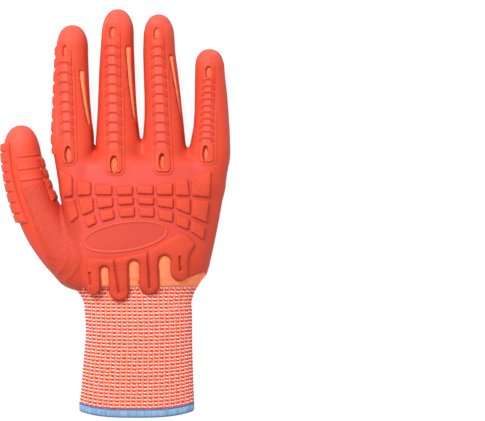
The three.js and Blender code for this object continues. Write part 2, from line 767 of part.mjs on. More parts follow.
// Pads on the palm side
const padLayer = layer(gap, padHeight + gap);
for (const [name, row] of Object.entries(padRows)) {
  row.spans.forEach(([from, to], place) => {
    const block = digitBlock(name, from, to, -row.half, row.half, -tall, 0);
    addPiece(`${name}_pad_${place + 1}`,
      padLayer.intersect(block).subtract(underFloor), "rubber");
  });
}
for (const [name, outline] of Object.entries(palmFields)) {
  const points = outline.map(([x, y]) => palmPoint(x, y));
  const field = padLayer.intersect(prism(points, -tall, palmRows[0].high * palmDepth));
  addPiece(name, field.subtract(underFloor), "rubber");
}

// The origin is the middle of the glove's box, on the surface
const box = new THREE.Box3().setFromObject(glove);
glove.position.set(-(box.min.x + box.max.x) / 2, -(box.min.y + box.max.y) / 2, -box.min.z);
glove.updateMatrixWorld(true);

export default glove;
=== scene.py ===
import math

import bpy
import numpy as np
from bpy.props import FloatProperty, FloatVectorProperty, IntProperty, PointerProperty
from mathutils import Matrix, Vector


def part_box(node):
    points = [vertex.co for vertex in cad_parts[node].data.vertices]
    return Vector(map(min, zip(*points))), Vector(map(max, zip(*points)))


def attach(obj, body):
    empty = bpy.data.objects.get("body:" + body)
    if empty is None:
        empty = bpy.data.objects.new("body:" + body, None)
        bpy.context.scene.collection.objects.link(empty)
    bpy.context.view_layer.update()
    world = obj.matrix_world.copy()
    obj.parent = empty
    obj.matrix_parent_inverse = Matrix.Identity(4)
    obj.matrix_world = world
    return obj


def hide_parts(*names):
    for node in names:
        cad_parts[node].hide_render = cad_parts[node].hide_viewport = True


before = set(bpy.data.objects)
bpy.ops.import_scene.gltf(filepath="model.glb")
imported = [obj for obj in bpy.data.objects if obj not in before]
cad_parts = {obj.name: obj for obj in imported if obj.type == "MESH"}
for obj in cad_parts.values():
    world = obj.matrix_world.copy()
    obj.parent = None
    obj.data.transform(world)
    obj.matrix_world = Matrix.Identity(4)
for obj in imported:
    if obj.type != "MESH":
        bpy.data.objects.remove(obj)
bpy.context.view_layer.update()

bl_info = {
    "name": "Impact Glove",
    "version": (1, 0, 0),
    "blender": (4, 5, 0),
    "location": "3D View > Sidebar > Glove",
    "description": "Dipped work glove with raised guards, a knitted liner and a ribbed cuff",
    "category": "Add Mesh",
}

MM = 0.001

# Main sizes of the hand in millimetres, as in the solids, but for the skin's thinner wall and
# the slightly squarer fingers; SUNK is the height at which a raised piece lies out of sight
PALM_LENGTH = 87.0
PALM_WIDTH = 112.0
PALM_DEPTH = 38.0
CUFF_LENGTH = 84.0
CUFF_WIDTH = 67.0
CUFF_DEPTH = 30.0
HEM_HEIGHT = 5.0
HEM_SAG = 4.0
KNUCKLE_HEIGHT = 20.4
TIP_HEIGHT = 10.1
SKIN_WALL = 1.0
KNIT_WALL = 1.2
CUFF_WALL = 1.6
GAP = 0.3
SUNK = -0.4
BADGE_MIDDLE = -0.074
PALM_ROUNDNESS = 2.5
DIGIT_ROUNDNESS = 2.2

# The layout of the back is set out on a square grid: millimetres a step, and the grid's origin
GRID = 0.64
GRID_X = 139.0
GRID_Y = 416.5

# The camera looks straight down from this height, in metres, at a picture of this many grid steps
CAMERA_HEIGHT = 2.5
FOCUS_HEIGHT = 0.02
PICTURE_WIDTH = 485
PICTURE_HEIGHT = 421
SENSOR_WIDTH = 36.0

# The one lamp: its place and width in metres, and its power in watts
LAMP_PLACE = (-0.45, 0.75, 1.1)
LAMP_WIDTH = 0.6
LAMP_POWER = 25.0
FLOOR_REACH = 3.0

# The cuff's knit: points round one rib, how far a rib stands out, how unevenly the yarn lies,
# and the length and width of each kind of yarn
RIB_POINTS = 6
RIB_WAVE = 0.22
YARN_SCATTER = 0.12
YARN_SIZES = {1: (1.75, 1.15), 2: (1.6, 0.9), 3: (1.95, 1.5)}
RING_STEPS = 720


def plan(x, y):
    """Plan millimetres of a place on the layout grid."""
    return (np.asarray(x, float) - GRID_X) * GRID, (GRID_Y - np.asarray(y, float)) * GRID


def grid(x, y):
    """Place on the layout grid of plan millimetres."""
    return np.asarray(x, float) / GRID + GRID_X, GRID_Y - np.asarray(y, float) / GRID


def row_origin():
    """Offset from plan millimetres to the frame's, read from two of the solids."""
    badge_low, badge_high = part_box("badge_frame")
    hem_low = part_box("cuff_hem")[0]
    middle = (badge_low.x + badge_high.x) / 2 / MM
    return np.array([middle - BADGE_MIDDLE * PALM_WIDTH, hem_low.y / MM, 0.0])


ORIGIN = row_origin()

# Sections of a finger: place along it, width, depth, and how far its centre has come down
FINGER_ROWS = {
    "along": [-0.15, 0.05, 0.22, 0.3, 0.45, 0.6, 0.76, 0.84, 1.05],
    "wide": [0.9, 1.2, 1.13, 1.07, 1.0, 0.95, 0.885, 0.86, 0.86],
    "deep": [1.25, 1.2, 1.1, 1.06, 1.0, 0.96, 0.93, 0.9, 0.88],
    "fall": [0, 0.08, 0.27, 0.38, 0.6, 0.78, 0.92, 0.97, 1.0],
}
THUMB_ROWS = {
    "along": [0, 0.122, 0.288, 0.48, 0.672, 0.84, 1.0, 1.05],
    "side": [0, -0.141, -0.282, -0.384, -0.448, -0.479, -0.486, -0.487],
    "wide": [0.78, 1.12, 1.15, 1.08, 0.99, 0.91, 0.89, 0.89],
    "deep": [1.22, 1.26, 1.2, 1.08, 1.0, 0.92, 0.9, 0.9],
    "fall": [0.2, 0.25, 0.38, 0.6, 0.8, 0.96, 1.0, 1.0],
}
DIGIT_SIZES = {
    "index": {"length": 89.6, "width": 23.7, "depth": 21.0, "lean": 1.1, "root": (-0.371, 0.89)},
    "middle": {"length": 99.8, "width": 24.2, "depth": 21.5, "lean": 0.4, "root": (-0.118, 0.89)},
    "ring": {"length": 96.6, "width": 23.3, "depth": 21.0, "lean": 2.5, "root": (0.146, 0.89)},
    "little": {"length": 74.2, "width": 22.0, "depth": 20.0, "lean": -0.8, "root": (0.395, 0.89)},
    "thumb": {"length": 100.0, "width": 26.0, "depth": 21.5, "lean": 0.0, "root": (-0.246, 0.03)},
}
# How each finger bends sideways along its length, in shares of it
FINGER_BENDS = {
    "index": [0, 0, -0.005, -0.007, -0.009, -0.008, -0.004, -0.001, 0],
    "middle": [0, 0, -0.003, -0.005, -0.007, -0.007, -0.004, -0.001, 0],
    "ring": [0, 0, 0.005, 0.007, 0.005, 0, -0.005, -0.002, 0],
    "little": [0, 0.008, 0.02, 0.024, 0.022, 0.015, 0.004, 0, 0],
}
INDEX_WIDE = [0.74, 1.06, 1.12, 1.06, 0.985, 0.935, 0.88, 0.86, 0.86]
FINGERS = ("index", "middle", "ring", "little")

# Webs between fingers on the layout grid: the place of the web's edge, and its radius
WEBS = [(141.4, 141.4, 9.0), (95.9, 152.0, 7.0), (185.2, 148.8, 8.0)]

# Sections of the cuff and the palm from the hem to the knuckles
SLEEVE_ROWS = {
    "cuff": [
        (-0.05, -0.586, 0.53, 1.02, 0.475), (0.13, -0.56, 0.521, 1.0, 0.475),
        (0.4, -0.532, 0.51, 1.0, 0.5), (0.66, -0.51, 0.505, 1.0, 0.525),
        (0.8, -0.524, 0.507, 1.02, 0.53), (0.888, -0.556, 0.523, 1.0, 0.54),
        (0.945, -0.6, 0.545, 1.02, 0.545),
    ],
    "palm": [
        (0.01, -0.42, 0.356, 0.9, 0.445), (0.1, -0.44, 0.392, 0.95, 0.48),
        (0.2, -0.44, 0.412, 1.0, 0.522),
        (0.397, -0.43, 0.445, 0.98, 0.53), (0.6, -0.44, 0.474, 0.88, 0.545),
        (0.735, -0.452, 0.492, 0.82, 0.55),
        (0.868, -0.455, 0.49, 0.71, 0.55), (1.0, -0.44, 0.475, 0.6, 0.55),
    ],
}


def ease(at, marks, values):
    """Smooth curve through a table's values, level past its ends."""
    marks = np.asarray(marks, float)
    values = np.asarray(values, float)
    slopes = np.gradient(values, marks)
    at = np.clip(at, marks[0], marks[-1])
    place = np.clip(np.searchsorted(marks, at, side="right") - 1, 0, len(marks) - 2)
    span = marks[place + 1] - marks[place]
    t = (at - marks[place]) / span
    rise = t * t * (3 - 2 * t)
    return (values[place] * (1 - rise) + values[place + 1] * rise
            + span * slopes[place] * t * (1 - t) ** 2
            + span * slopes[place + 1] * t * t * (t - 1))


def step(value, low=0.0, high=1.0):
    """Smooth step from 0 at low to 1 at high."""
    t = np.clip((value - low) / (high - low), 0, 1)
    return t * t * (3 - 2 * t)


def merge(first, second, reach):
    """Smooth union of two fields."""
    share = np.clip(0.5 + 0.5 * (second - first) / reach, 0, 1)
    return second * (1 - share) + first * share - reach * share * (1 - share)


def rounded(across, up, ahead, wide, deep, cap, power):
    """Distance to a rounded section of half sizes wide and deep, drawn in over a cap."""
    a = np.abs(across) / wide + 1e-6
    u = np.abs(up) / deep + 1e-6
    ring = (a ** power + u ** power) ** (1 / power)
    tilt = ring ** (1 - power)
    slope_a = tilt * a ** (power - 1) / wide
    slope_u = tilt * u ** (power - 1) / deep
    ahead = np.maximum(ahead, 0) / cap + 1e-6
    whole = (ring ** 2.2 + ahead ** 2.2) ** (1 / 2.2)
    scale = whole ** -1.2
    slope = np.sqrt((scale * ring ** 1.2) ** 2 * (slope_a ** 2 + slope_u ** 2)
                    + (scale * ahead ** 1.2 / cap) ** 2)
    return (whole - 1) / np.maximum(slope, 1e-4)


class Digit:
    """Centre line and sections of a finger or the thumb, in plan millimetres."""

    def __init__(self, name):
        size = DIGIT_SIZES[name]
        self.rows = THUMB_ROWS
        if name != "thumb":
            self.rows = {**FINGER_ROWS, "side": FINGER_BENDS[name]}
        if name == "index":
            self.rows["wide"] = INDEX_WIDE
        self.length = size["length"]
        self.width = size["width"]
        self.depth = size["depth"]
        self.start = self.rows["along"][0]
        self.dome = 0.82 if name == "thumb" else 0.835
        lean = math.radians(size["lean"])
        self.ahead = np.array([-math.sin(lean), math.cos(lean)])
        self.right = np.array([math.cos(lean), math.sin(lean)])
        self.root = np.array([size["root"][0] * PALM_WIDTH,
                              CUFF_LENGTH + size["root"][1] * PALM_LENGTH])
        marks = 40 if name == "thumb" else 9
        self.marks = np.linspace(self.start, 1.04, marks)
        self.line = np.stack(self.centre(self.marks), 1)

    def centre(self, along):
        """Plan centre at a share of the length."""
        side = ease(along, self.rows["along"], self.rows["side"]) * self.length
        return (self.root[0] + side * self.right[0] + along * self.length * self.ahead[0],
                self.root[1] + side * self.right[1] + along * self.length * self.ahead[1])

    def place(self, x, y):
        """Share along the digit, and millimetres to the right of its centre line."""
        points = np.stack([np.ravel(x), np.ravel(y)], 1)
        best = np.full(len(points), np.inf)
        along = np.zeros(len(points))
        across = np.zeros(len(points))
        last = len(self.line) - 2
        for part in range(last + 1):
            leg = self.line[part + 1] - self.line[part]
            rel = points - self.line[part]
            share = rel @ leg / (leg @ leg)
            share = np.clip(share, -np.inf if part == 0 else 0, np.inf if part == last else 1)
            off = rel - share[:, None] * leg
            distance = np.hypot(off[:, 0], off[:, 1])
            side = np.sign(rel[:, 0] * leg[1] - rel[:, 1] * leg[0])
            nearer = distance < best
            best = np.where(nearer, distance, best)
            mark = self.marks[part] + share * (self.marks[part + 1] - self.marks[part])
            along = np.where(nearer, mark, along)
            across = np.where(nearer, side * distance, across)
        return along.reshape(np.shape(x)), across.reshape(np.shape(x))

    def section(self, along):
        """Half width, half depth and centre height at a share of the length."""
        wide = ease(along, self.rows["along"], self.rows["wide"]) * self.width / 2
        deep = ease(along, self.rows["along"], self.rows["deep"]) * self.depth / 2
        fall = ease(along, self.rows["along"], self.rows["fall"])
        return wide, deep, KNUCKLE_HEIGHT + (TIP_HEIGHT - KNUCKLE_HEIGHT) * fall

    def field(self, x, y, z):
        """Distance from the digit's skin, negative inside."""
        along, across = self.place(x, y)
        wide, deep, high = self.section(along)
        past = np.maximum((along - self.dome) * self.length, (self.start - along) * self.length)
        cap = (1 - self.dome) * self.length
        return rounded(across, z - high, past, wide, deep, cap, DIGIT_ROUNDNESS)


DIGITS = {name: Digit(name) for name in DIGIT_SIZES}


def sleeve_table():
    """The sleeve's sections in millimetres: place along, left, right, half depth, height."""
    rows = []
    for along, left, right, deep, high in SLEEVE_ROWS["cuff"]:
        rows.append((along * CUFF_LENGTH, left * CUFF_WIDTH, right * CUFF_WIDTH,
                     deep * CUFF_DEPTH / 2, high * CUFF_DEPTH))
    for along, left, right, deep, high in SLEEVE_ROWS["palm"]:
        rows.append((CUFF_LENGTH + along * PALM_LENGTH, left * PALM_WIDTH, right * PALM_WIDTH,
                     deep * PALM_DEPTH / 2, high * PALM_DEPTH))
    return np.array(rows)


SLEEVE = sleeve_table()
PALM_END = CUFF_LENGTH + 0.86 * PALM_LENGTH
PALM_CAP = 0.1 * PALM_LENGTH


def sleeve_section(y):
    """Left, right, half depth and centre height of the sleeve at a plan place along it."""
    return [ease(y, SLEEVE[:, 0], SLEEVE[:, column]) for column in range(1, 5)]


def sleeve_field(x, y, z):
    """Distance from the palm and wrist's round body, negative inside."""
    left, right, deep, high = sleeve_section(y)
    return rounded(x - (left + right) / 2, z - high, y - PALM_END, (right - left) / 2, deep,
                   PALM_CAP, PALM_ROUNDNESS)


def hand_field(x, y, z):
    """Distance from the skin of the whole hand, negative inside."""
    x, y = np.broadcast_arrays(x, y)
    fingers = None
    for name in FINGERS:
        one = DIGITS[name].field(x, y, z)
        fingers = one if fingers is None else merge(fingers, one, 1.2)
    body = merge(sleeve_field(x, y, z), fingers, 4.0)
    for place_x, place_y, radius in WEBS:
        middle_x, middle_y = plan(place_x, place_y + radius)
        reach = radius * GRID
        web = np.sqrt((x - middle_x) ** 2 + (y - middle_y) ** 2 + 0.7 * (z - 18.5) ** 2) - reach
        body = merge(body, web, 4.0)
    reach = 3.2 + 5.8 * step(y, 118.0, 96.0)
    return merge(body, DIGITS["thumb"].field(x, y, z), reach)


def slope(field, points, reach=0.25):
    """Gradient of a field at points."""
    parts = []
    for axis in range(3):
        ahead = points.copy()
        back = points.copy()
        ahead[:, axis] += reach
        back[:, axis] -= reach
        parts.append((field(*ahead.T) - field(*back.T)) / (2 * reach))
    return np.stack(parts, 1)


def outward(field, points, reach=0.25):
    """Ways out of a field at points, one long."""
    way = slope(field, points, reach)
    return way / np.linalg.norm(way, axis=1)[:, None]


def settle(field, points, level=0.0, rounds=3):
    """Moves points onto a level of a field."""
    for _ in range(rounds):
        turn = slope(field, points)
        value = field(*points.T) - level
        points = points - turn * (value / np.maximum((turn ** 2).sum(1), 0.05))[:, None]
    return points


def skin_mesh(field, low, high, pitch, level=0.0):
    """Points and quads of a field's level, on a grid of cubes."""
    axes = [np.arange(low[k], high[k] + pitch, pitch) for k in range(3)]
    value = field(axes[0][:, None, None], axes[1][None, :, None], axes[2][None, None, :])
    value = value.astype(np.float32) - level
    cells = np.array(value.shape) - 1
    total = np.zeros((*cells, 3), np.float32)
    count = np.zeros(cells, np.float32)
    quads = []
    for axis in range(3):
        others = [k for k in range(3) if k != axis]
        first = [slice(None)] * 3
        second = [slice(None)] * 3
        first[axis] = slice(0, -1)
        second[axis] = slice(1, None)
        a, b = value[tuple(first)], value[tuple(second)]
        cross = (a < 0) != (b < 0)
        share = np.where(cross, a / np.where(cross, a - b, 1), 0)
        for da in (0, 1):
            for db in (0, 1):
                part = [slice(None)] * 3
                part[others[0]] = slice(da, da + cells[others[0]])
                part[others[1]] = slice(db, db + cells[others[1]])
                hit = cross[tuple(part)]
                count += hit
                total[..., axis] += share[tuple(part)]
                total[..., others[0]] += hit * da
                total[..., others[1]] += hit * db
        inner = [slice(None)] * 3
        inner[others[0]] = slice(1, -1)
        inner[others[1]] = slice(1, -1)
        spots = np.argwhere(cross[tuple(inner)])
        spots[:, others[0]] += 1
        spots[:, others[1]] += 1
        corners = []
        for da, db in ((-1, -1), (0, -1), (0, 0), (-1, 0)):
            corner = spots.copy()
            corner[:, others[0]] += da
            corner[:, others[1]] += db
            corners.append(np.ravel_multi_index(corner.T, cells))
        quad = np.stack(corners, 1)
        outward = a[tuple(spots.T)] < 0
        if axis == 1:
            outward = ~outward
        quad[~outward] = quad[~outward][:, ::-1]
        quads.append(quad)
    used = np.flatnonzero(count.ravel())
    index = np.full(count.size, -1)
    index[used] = np.arange(len(used))
    cell = np.stack(np.unravel_index(used, cells), 1)
    share = total.reshape(-1, 3)[used] / count.ravel()[used][:, None]
    points = np.array([axes[k][0] for k in range(3)]) + (cell + share) * pitch
    points = settle(field, points, level)
    return points, index[np.concatenate(quads)]


def compact(points, quads):
    """Points that quads use, the quads among them, and the used points' old places."""
    used = np.unique(quads)
    index = np.full(len(points), -1)
    index[used] = np.arange(len(used))
    return points[used], index[quads], used


def trimmed(points, quads, keep, field, level=0.0):
    """Cuts a skin where keep turns negative, and draws the cut edge onto keep's edge."""
    quads = quads[(keep(*points.T)[quads] > 0).all(1)]
    edges = np.concatenate([quads[:, [k, (k + 1) % 4]] for k in range(4)])
    edges = np.sort(edges, 1)
    pairs, counts = np.unique(edges, axis=0, return_counts=True)
    rim = np.unique(pairs[counts == 1])
    move = points[rim]
    start = move.copy()
    for _ in range(4):
        normal = outward(field, move)
        turn = slope(keep, move)
        turn -= normal * (turn * normal).sum(1)[:, None]
        value = keep(*move.T)
        move = move - turn * (value / np.maximum((turn ** 2).sum(1), 0.2))[:, None]
        away = move - start
        far = np.maximum(np.linalg.norm(away, axis=1) / 1.8, 1)[:, None]
        move = start + away / far
    points = points.copy()
    points[rim] = settle(field, move, level, 1)
    return compact(points, quads)[:2]


def make_object(name, points, faces, material, smooth=True):
    """A mesh object from plan millimetres, in its place in the frame."""
    mesh = bpy.data.meshes.new(name)
    place = (np.asarray(points) + ORIGIN) * MM
    mesh.from_pydata(place.tolist(), [], [tuple(map(int, face)) for face in faces])
    mesh.update()
    if smooth:
        mesh.shade_smooth()
    piece = bpy.data.objects.new(name, mesh)
    bpy.context.scene.collection.objects.link(piece)
    if material:
        mesh.materials.append(material)
    return piece


def apply_modifiers(piece):
    """Turns a piece with its modifiers into a plain mesh."""
    bpy.context.view_layer.update()
    graph = bpy.context.evaluated_depsgraph_get()
    made = bpy.data.meshes.new_from_object(piece.evaluated_get(graph))
    made.name = piece.name
    piece.modifiers.clear()
    piece.data = made
    return piece


def thicken(piece, wall):
    """Gives a skin a wall inwards, closed round its edges."""
    solid = piece.modifiers.new("wall", "SOLIDIFY")
    solid.thickness = wall * MM
    solid.offset = -1
    return apply_modifiers(piece)


def set_attribute(piece, name, values):
    """Stores one number a point on a mesh."""
    layer = piece.data.attributes.new(name, "FLOAT", "POINT")
    layer.data.foreach_set("value", np.asarray(values, np.float32))


def plan_points(piece):
    """A mesh's points in plan millimetres."""
    flat = np.empty(len(piece.data.vertices) * 3, np.float32)
    piece.data.vertices.foreach_get("co", flat)
    return flat.reshape(-1, 3) / MM - ORIGIN


def around(corners, reach=2):
    """The two spans of a rectangle round some corners."""
    xs, ys = zip(*corners)
    return (min(xs) - reach, max(xs) + reach), (min(ys) - reach, max(ys) + reach)


def finish_piece(piece, slot, *nodes):
    """Puts a piece on the frame in place of its solids."""
    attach(piece, "root")
    if nodes:
        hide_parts(*nodes)
    return piece


# Materials


class Signal:
    """A shader socket that can be used in sums."""

    def __init__(self, shader, socket):
        self.shader = shader
        self.socket = socket

    def math(self, operation, first, second):
        """One sum on two signals or numbers."""
        return self.shader.add("ShaderNodeMath", {"operation": operation}, {0: first, 1: second})

    def __add__(self, other):
        return self.math("ADD", self, other)

    def __radd__(self, other):
        return self.math("ADD", other, self)

    def __sub__(self, other):
        return self.math("SUBTRACT", self, other)

    def __rsub__(self, other):
        return self.math("SUBTRACT", other, self)

    def __mul__(self, other):
        return self.math("MULTIPLY", self, other)

    def __rmul__(self, other):
        return self.math("MULTIPLY", other, self)

    def __truediv__(self, other):
        return self.math("DIVIDE", self, other)

    def __rtruediv__(self, other):
        return self.math("DIVIDE", other, self)


class Shader:
    """A material and the nodes in it."""

    def __init__(self, name):
        self.material = bpy.data.materials.new(name)
        self.material.use_nodes = True
        self.tree = self.material.node_tree
        self.tree.nodes.clear()
        self.surface = self.tree.nodes.new("ShaderNodeBsdfPrincipled")
        output = self.tree.nodes.new("ShaderNodeOutputMaterial")
        self.tree.links.new(self.surface.outputs[0], output.inputs[0])
        self.place = self.add("ShaderNodeTexCoord", output="Object")

    def add(self, kind, settings=None, inputs=None, output=0):
        """Adds a node: its type, its settings, then the values or links of its sockets."""
        node = self.tree.nodes.new(kind)
        for key, value in (settings or {}).items():
            if key == "stops":
                ramp = node.color_ramp
                while len(ramp.elements) < len(value):
                    ramp.elements.new(0.5)
                for element, (at, level) in zip(ramp.elements, value):
                    element.position = at
                    element.color = (level, level, level, 1)
            else:
                setattr(node, key, value)
        for key, value in (inputs or {}).items():
            self.feed(node.inputs[key], value)
        return Signal(self, node.outputs[output])

    def feed(self, socket, value):
        """Sets a socket, or links it."""
        if isinstance(value, Signal):
            self.tree.links.new(value.socket, socket)
        else:
            socket.default_value = value

    def noise(self, scale, detail=2.0, roughness=0.5):
        """Soft noise over the piece."""
        return self.add("ShaderNodeTexNoise", None, {
            "Vector": self.place, "Scale": scale, "Detail": detail, "Roughness": roughness})

    def cells(self, scale, feature="F1"):
        """Distance in a pattern of cells over the piece."""
        return self.add("ShaderNodeTexVoronoi", {"feature": feature}, {
            "Vector": self.place, "Scale": scale}, "Distance")

    def ramp(self, value, stops):
        """A signal put through a grey ramp."""
        return self.add("ShaderNodeValToRGB", {"stops": stops}, {"Fac": value})

    def mix(self, first, second, share):
        """Two colours mixed by a share."""
        return self.add("ShaderNodeMix", {"data_type": "RGBA"}, {
            "Factor": share, 6: first, 7: second}, 2)

    def attribute(self, name):
        """A number stored on the mesh."""
        return self.add("ShaderNodeAttribute", {"attribute_name": name}, None, "Fac")

    def bump(self, height, strength, distance):
        """A normal roughened by a height."""
        return self.add("ShaderNodeBump", None, {
            "Strength": strength, "Distance": distance, "Height": height})

    def set(self, **values):
        """Sets or feeds the surface's sockets by name, with spaces as underscores."""
        for key, value in values.items():
            self.feed(self.surface.inputs[key.replace("_", " ")], value)
        return self.material


def shade(colour, factor):
    """A colour made lighter or darker, as the four numbers that a socket takes."""
    return tuple(min(part * factor, 1.0) for part in colour[:3]) + (1.0,)


def rubber_finish(name, colour, rough, stipple, pink=None, pale=None, deep=None):
    """Dipped rubber: a soft mottle, a fine grain and a stipple.

    With the other three colours, the attribute smooth gives the share of a tint, which on the
    oval's rim and the wings' edges is a painted highlight; the attribute for the paler colour
    gives painted light, and the one for the deeper colour painted shade. The attribute grain gives
    the stipple's and the hatching's share, and ring and ripple the tips' ripples.
    """
    shader = Shader(name)
    mottle = shader.ramp(shader.noise(90, 3), [(0.3, 0), (0.7, 1)])
    base = shader.mix(shade(colour, 0.96), shade(colour, 1.04), mottle)
    share = 1.0
    if pink is not None:
        # a tint, or a painted highlight on rims and wing edges; then painted light; then painted
        # shade
        base = shader.mix(base, shade(pink, 1.0), shader.attribute("smooth"))
        base = shader.mix(base, shade(pale, 1.0), shader.attribute("tip"))
        base = shader.mix(base, shade(deep, 1.0), shader.attribute("flank"))
        share = shader.attribute("grain")
        base = shader.mix(base, shade(colour, 0.8), share * 0.7)
    pits = shader.ramp(shader.cells(1050), [(0.1, 0), (0.7, 1)])
    fine = shader.noise(1500, 2, 0.6)
    # Painted shade: the stipple's pits are darker
    base = shader.mix(base, shade(colour, 0.76), (1.0 - pits) * share * stipple * 0.35)
    height = fine * 0.4 + pits * share * stipple
    if pink is not None:
        turned = shader.add("ShaderNodeVectorMath", {"operation": "MULTIPLY"},
                            {0: shader.place, 1: (1.0, -1.0, 0.0)})
        hatch = shader.add("ShaderNodeTexWave", {"bands_direction": "DIAGONAL"},
                           {"Vector": turned, "Scale": 300.0, "Distortion": 5.0, "Detail": 2.0,
                            "Detail Scale": 1.2}, "Fac")
        ripple = shader.add("ShaderNodeMath", {"operation": "SINE"},
                            {0: shader.attribute("ring") * 3.0}) * shader.attribute("ripple")
        # Painted shade: the hatching's grooves are darker
        base = shader.mix(base, shade(colour, 0.62), hatch * share * 0.2)
        height = height - hatch * share * 0.7 + ripple * 0.9
    bump = shader.bump(height, 1.0, 0.00016)
    return shader.set(Base_Color=base, Roughness=rough + (fine - 0.5) * 0.15, Normal=bump,
                      Specular_IOR_Level=0.22)


def pad_finish(name, colour):
    """Rubber with a leather-like grain."""
    shader = Shader(name)
    mottle = shader.ramp(shader.noise(70, 3), [(0.3, 0), (0.7, 1)])
    base = shader.mix(shade(colour, 0.95), shade(colour, 1.04), mottle)
    wrinkle = shader.cells(620, "SMOOTH_F1")
    fine = shader.noise(1400, 2, 0.6)
    bump = shader.bump(wrinkle * 1.4 + fine * 0.5, 1.0, 0.00016)
    return shader.set(Base_Color=base, Roughness=0.44 + (fine - 0.5) * 0.2, Normal=bump,
                      Specular_IOR_Level=0.4)


def knit_finish(name, colour, bright, pale):
    """Fine plain knit: small loops with pale flecks; the bright colour, where the attribute open
    is 1, is painted light on the liner at the slots and the wrist, and the plain colour is painted
    shade on the liner deep in the ovals.
    """
    shader = Shader(name)
    flecks = shader.ramp(shader.noise(1100, 3, 0.7), [(0.5, 0), (0.68, 1)])
    base = shader.mix(shade(colour, 1.0), shade(bright, 1.0), shader.attribute("open"))
    base = shader.mix(base, shade(pale, 1.0), flecks * 0.5)
    loops = shader.cells(1000)
    bump = shader.bump(loops + shader.noise(2200, 2) * 0.6, 1.0, 0.0003)
    return shader.set(Base_Color=base, Roughness=0.92, Normal=bump, Specular_IOR_Level=0.1)


def yarn_finish(name, colours, light=None):
    """Yarn whose colour follows the attribute yarn: each whole number is one yarn.

    With a light colour the attribute row gives its share of the first yarn.
    """
    shader = Shader(name)
    kind = shader.attribute("yarn")
    base = shade(colours[0], 1.0)
    if light is not None:
        base = shader.mix(base, shade(light, 1.0), shader.attribute("row"))
    for number, colour in enumerate(colours[1:], 1):
        chosen = shader.add("ShaderNodeMath", {"operation": "COMPARE"},
                            {0: kind, 1: float(number), 2: 0.4})
        base = shader.mix(base, shade(colour, 1.0), chosen)
    fuzz = shader.noise(2600, 3, 0.7)
    bump = shader.bump(fuzz, 1.0, 0.00015)
    return shader.set(Base_Color=base, Roughness=0.9, Normal=bump, Specular_IOR_Level=0.1)


# Settings


def colour_setting(name, description, default):
    """A colour in the settings."""
    return FloatVectorProperty(name=name, description=description, default=default,
                               subtype="COLOR", size=3, min=0, max=1)


def length_setting(name, description, default):
    """A length in the settings, in metres."""
    return FloatProperty(name=name, description=description, default=default, unit="LENGTH",
                         subtype="DISTANCE", min=0, precision=5)


class GloveSizes(bpy.types.PropertyGroup):
    """Sizes of the glove's raised pieces, knit and hem."""

    rib_height: length_setting("Rib height", "Height of a finger guard's ribs", 0.0018)
    groove_depth: length_setting("Groove depth", "Depth of the grooves between ribs", 0.0009)
    knuckle_height: length_setting("Knuckle height", "Height of the knuckle blocks", 0.0021)
    comb_height: length_setting("Wrist guard height", "Height of the wrist guard", 0.0018)
    pad_height: length_setting("Pad height", "Height of the palm side's pads", 0.0007)
    rim_height: length_setting("Oval rim height", "Height of the oval frame's rim", 0.0008)
    tooth_height: length_setting("Tooth height", "Height of the thumb guard's teeth", 0.0024)
    rib_pitch: length_setting("Rib pitch", "Distance between two ribs of the cuff", 0.0035)
    row_pitch: length_setting("Row pitch", "Distance between two rows of the cuff", 0.0023)
    stitch_pitch: length_setting("Hem stitch pitch", "Distance between the hem's stitches",
                                 0.00085)
    seed: IntProperty(name="Seed", description="Seed of the stitches' unevenness", default=7)


class GloveColours(bpy.types.PropertyGroup):
    """Colours of the glove."""

    rubber: colour_setting("Rubber", "Smooth dipped rubber", (0.54, 0.046, 0.019))
    recess: colour_setting("Recess", "Smooth rubber between the blocks", (0.51, 0.047, 0.033))
    # Painted light: paler rubber where the fingertips and the guards' flat tops face the light
    tip: colour_setting("Tip", "Thick rubber at the fingertips", (0.6, 0.082, 0.054))
    guard: colour_setting("Guard", "Raised, stippled rubber", (0.54, 0.05, 0.021))
    badge: colour_setting("Oval", "Rubber inside the oval frame", (0.47, 0.042, 0.022))
    # Painted shade: deeper red on the steep flanks and in the creases
    flank: colour_setting("Flank", "Rubber on the flanks and in the creases", (0.4, 0.012, 0.006))
    # Painted highlight along the oval's raised rim
    rim: colour_setting("Oval rim", "Worn rim of the oval frame", (0.62, 0.085, 0.034))
    # Painted highlight along the outer ends of the ribs' grooves on the wings
    edge: colour_setting("Wing edge", "Worn outer edges of the ribs", (0.66, 0.13, 0.16))
    pad: colour_setting("Pad", "Pads of the palm side", (0.5, 0.045, 0.02))
    # The liner's plain colour, darker as painted shade where it lies deep in the ovals; also one
    # thread of the hem
    knit: colour_setting("Knit", "Plain knitted liner", (0.62, 0.1, 0.045))
    # Painted light: the liner made brighter where it shows in the slots and at the wrist
    lit_knit: colour_setting("Open knit", "Liner where it lies open", (0.95, 0.22, 0.09))
    fleck: colour_setting("Fleck", "Pale fibres of the knit", (0.9, 0.42, 0.26))
    yarn: colour_setting("Cuff yarn", "Orange rows of the cuff", (0.8, 0.1, 0.02))
    light_yarn: colour_setting("Light cuff yarn", "Light rows of the cuff", (0.8, 0.26, 0.16))
    white: colour_setting("White yarn", "White yarn in the cuff's furrows", (0.64, 0.74, 0.82))
    pale: colour_setting("Pale yarn", "White yarn over the cuff's ribs", (0.8, 0.5, 0.45))
    orange: colour_setting("Orange yarn", "Orange yarn in the cuff's furrows", (0.8, 0.02, 0.0))
    hem: colour_setting("Hem thread", "Light blue thread of the hem", (0.165, 0.285, 0.43))
    hem_light: colour_setting("Light hem thread", "Pale thread among the hem's stitches",
                              (0.3, 0.43, 0.58))
    hem_edge: colour_setting("Hem edge", "Darker thread along the hem's top", (0.08, 0.2, 0.42))


def sizes():
    """The scene's sizes."""
    return bpy.context.scene.glove_sizes


def colours():
    """The scene's colours."""
    return bpy.context.scene.glove_colours


def millimetres(value):
    """Millimetres of a length in metres."""
    return value / MM


FINISHES = {}


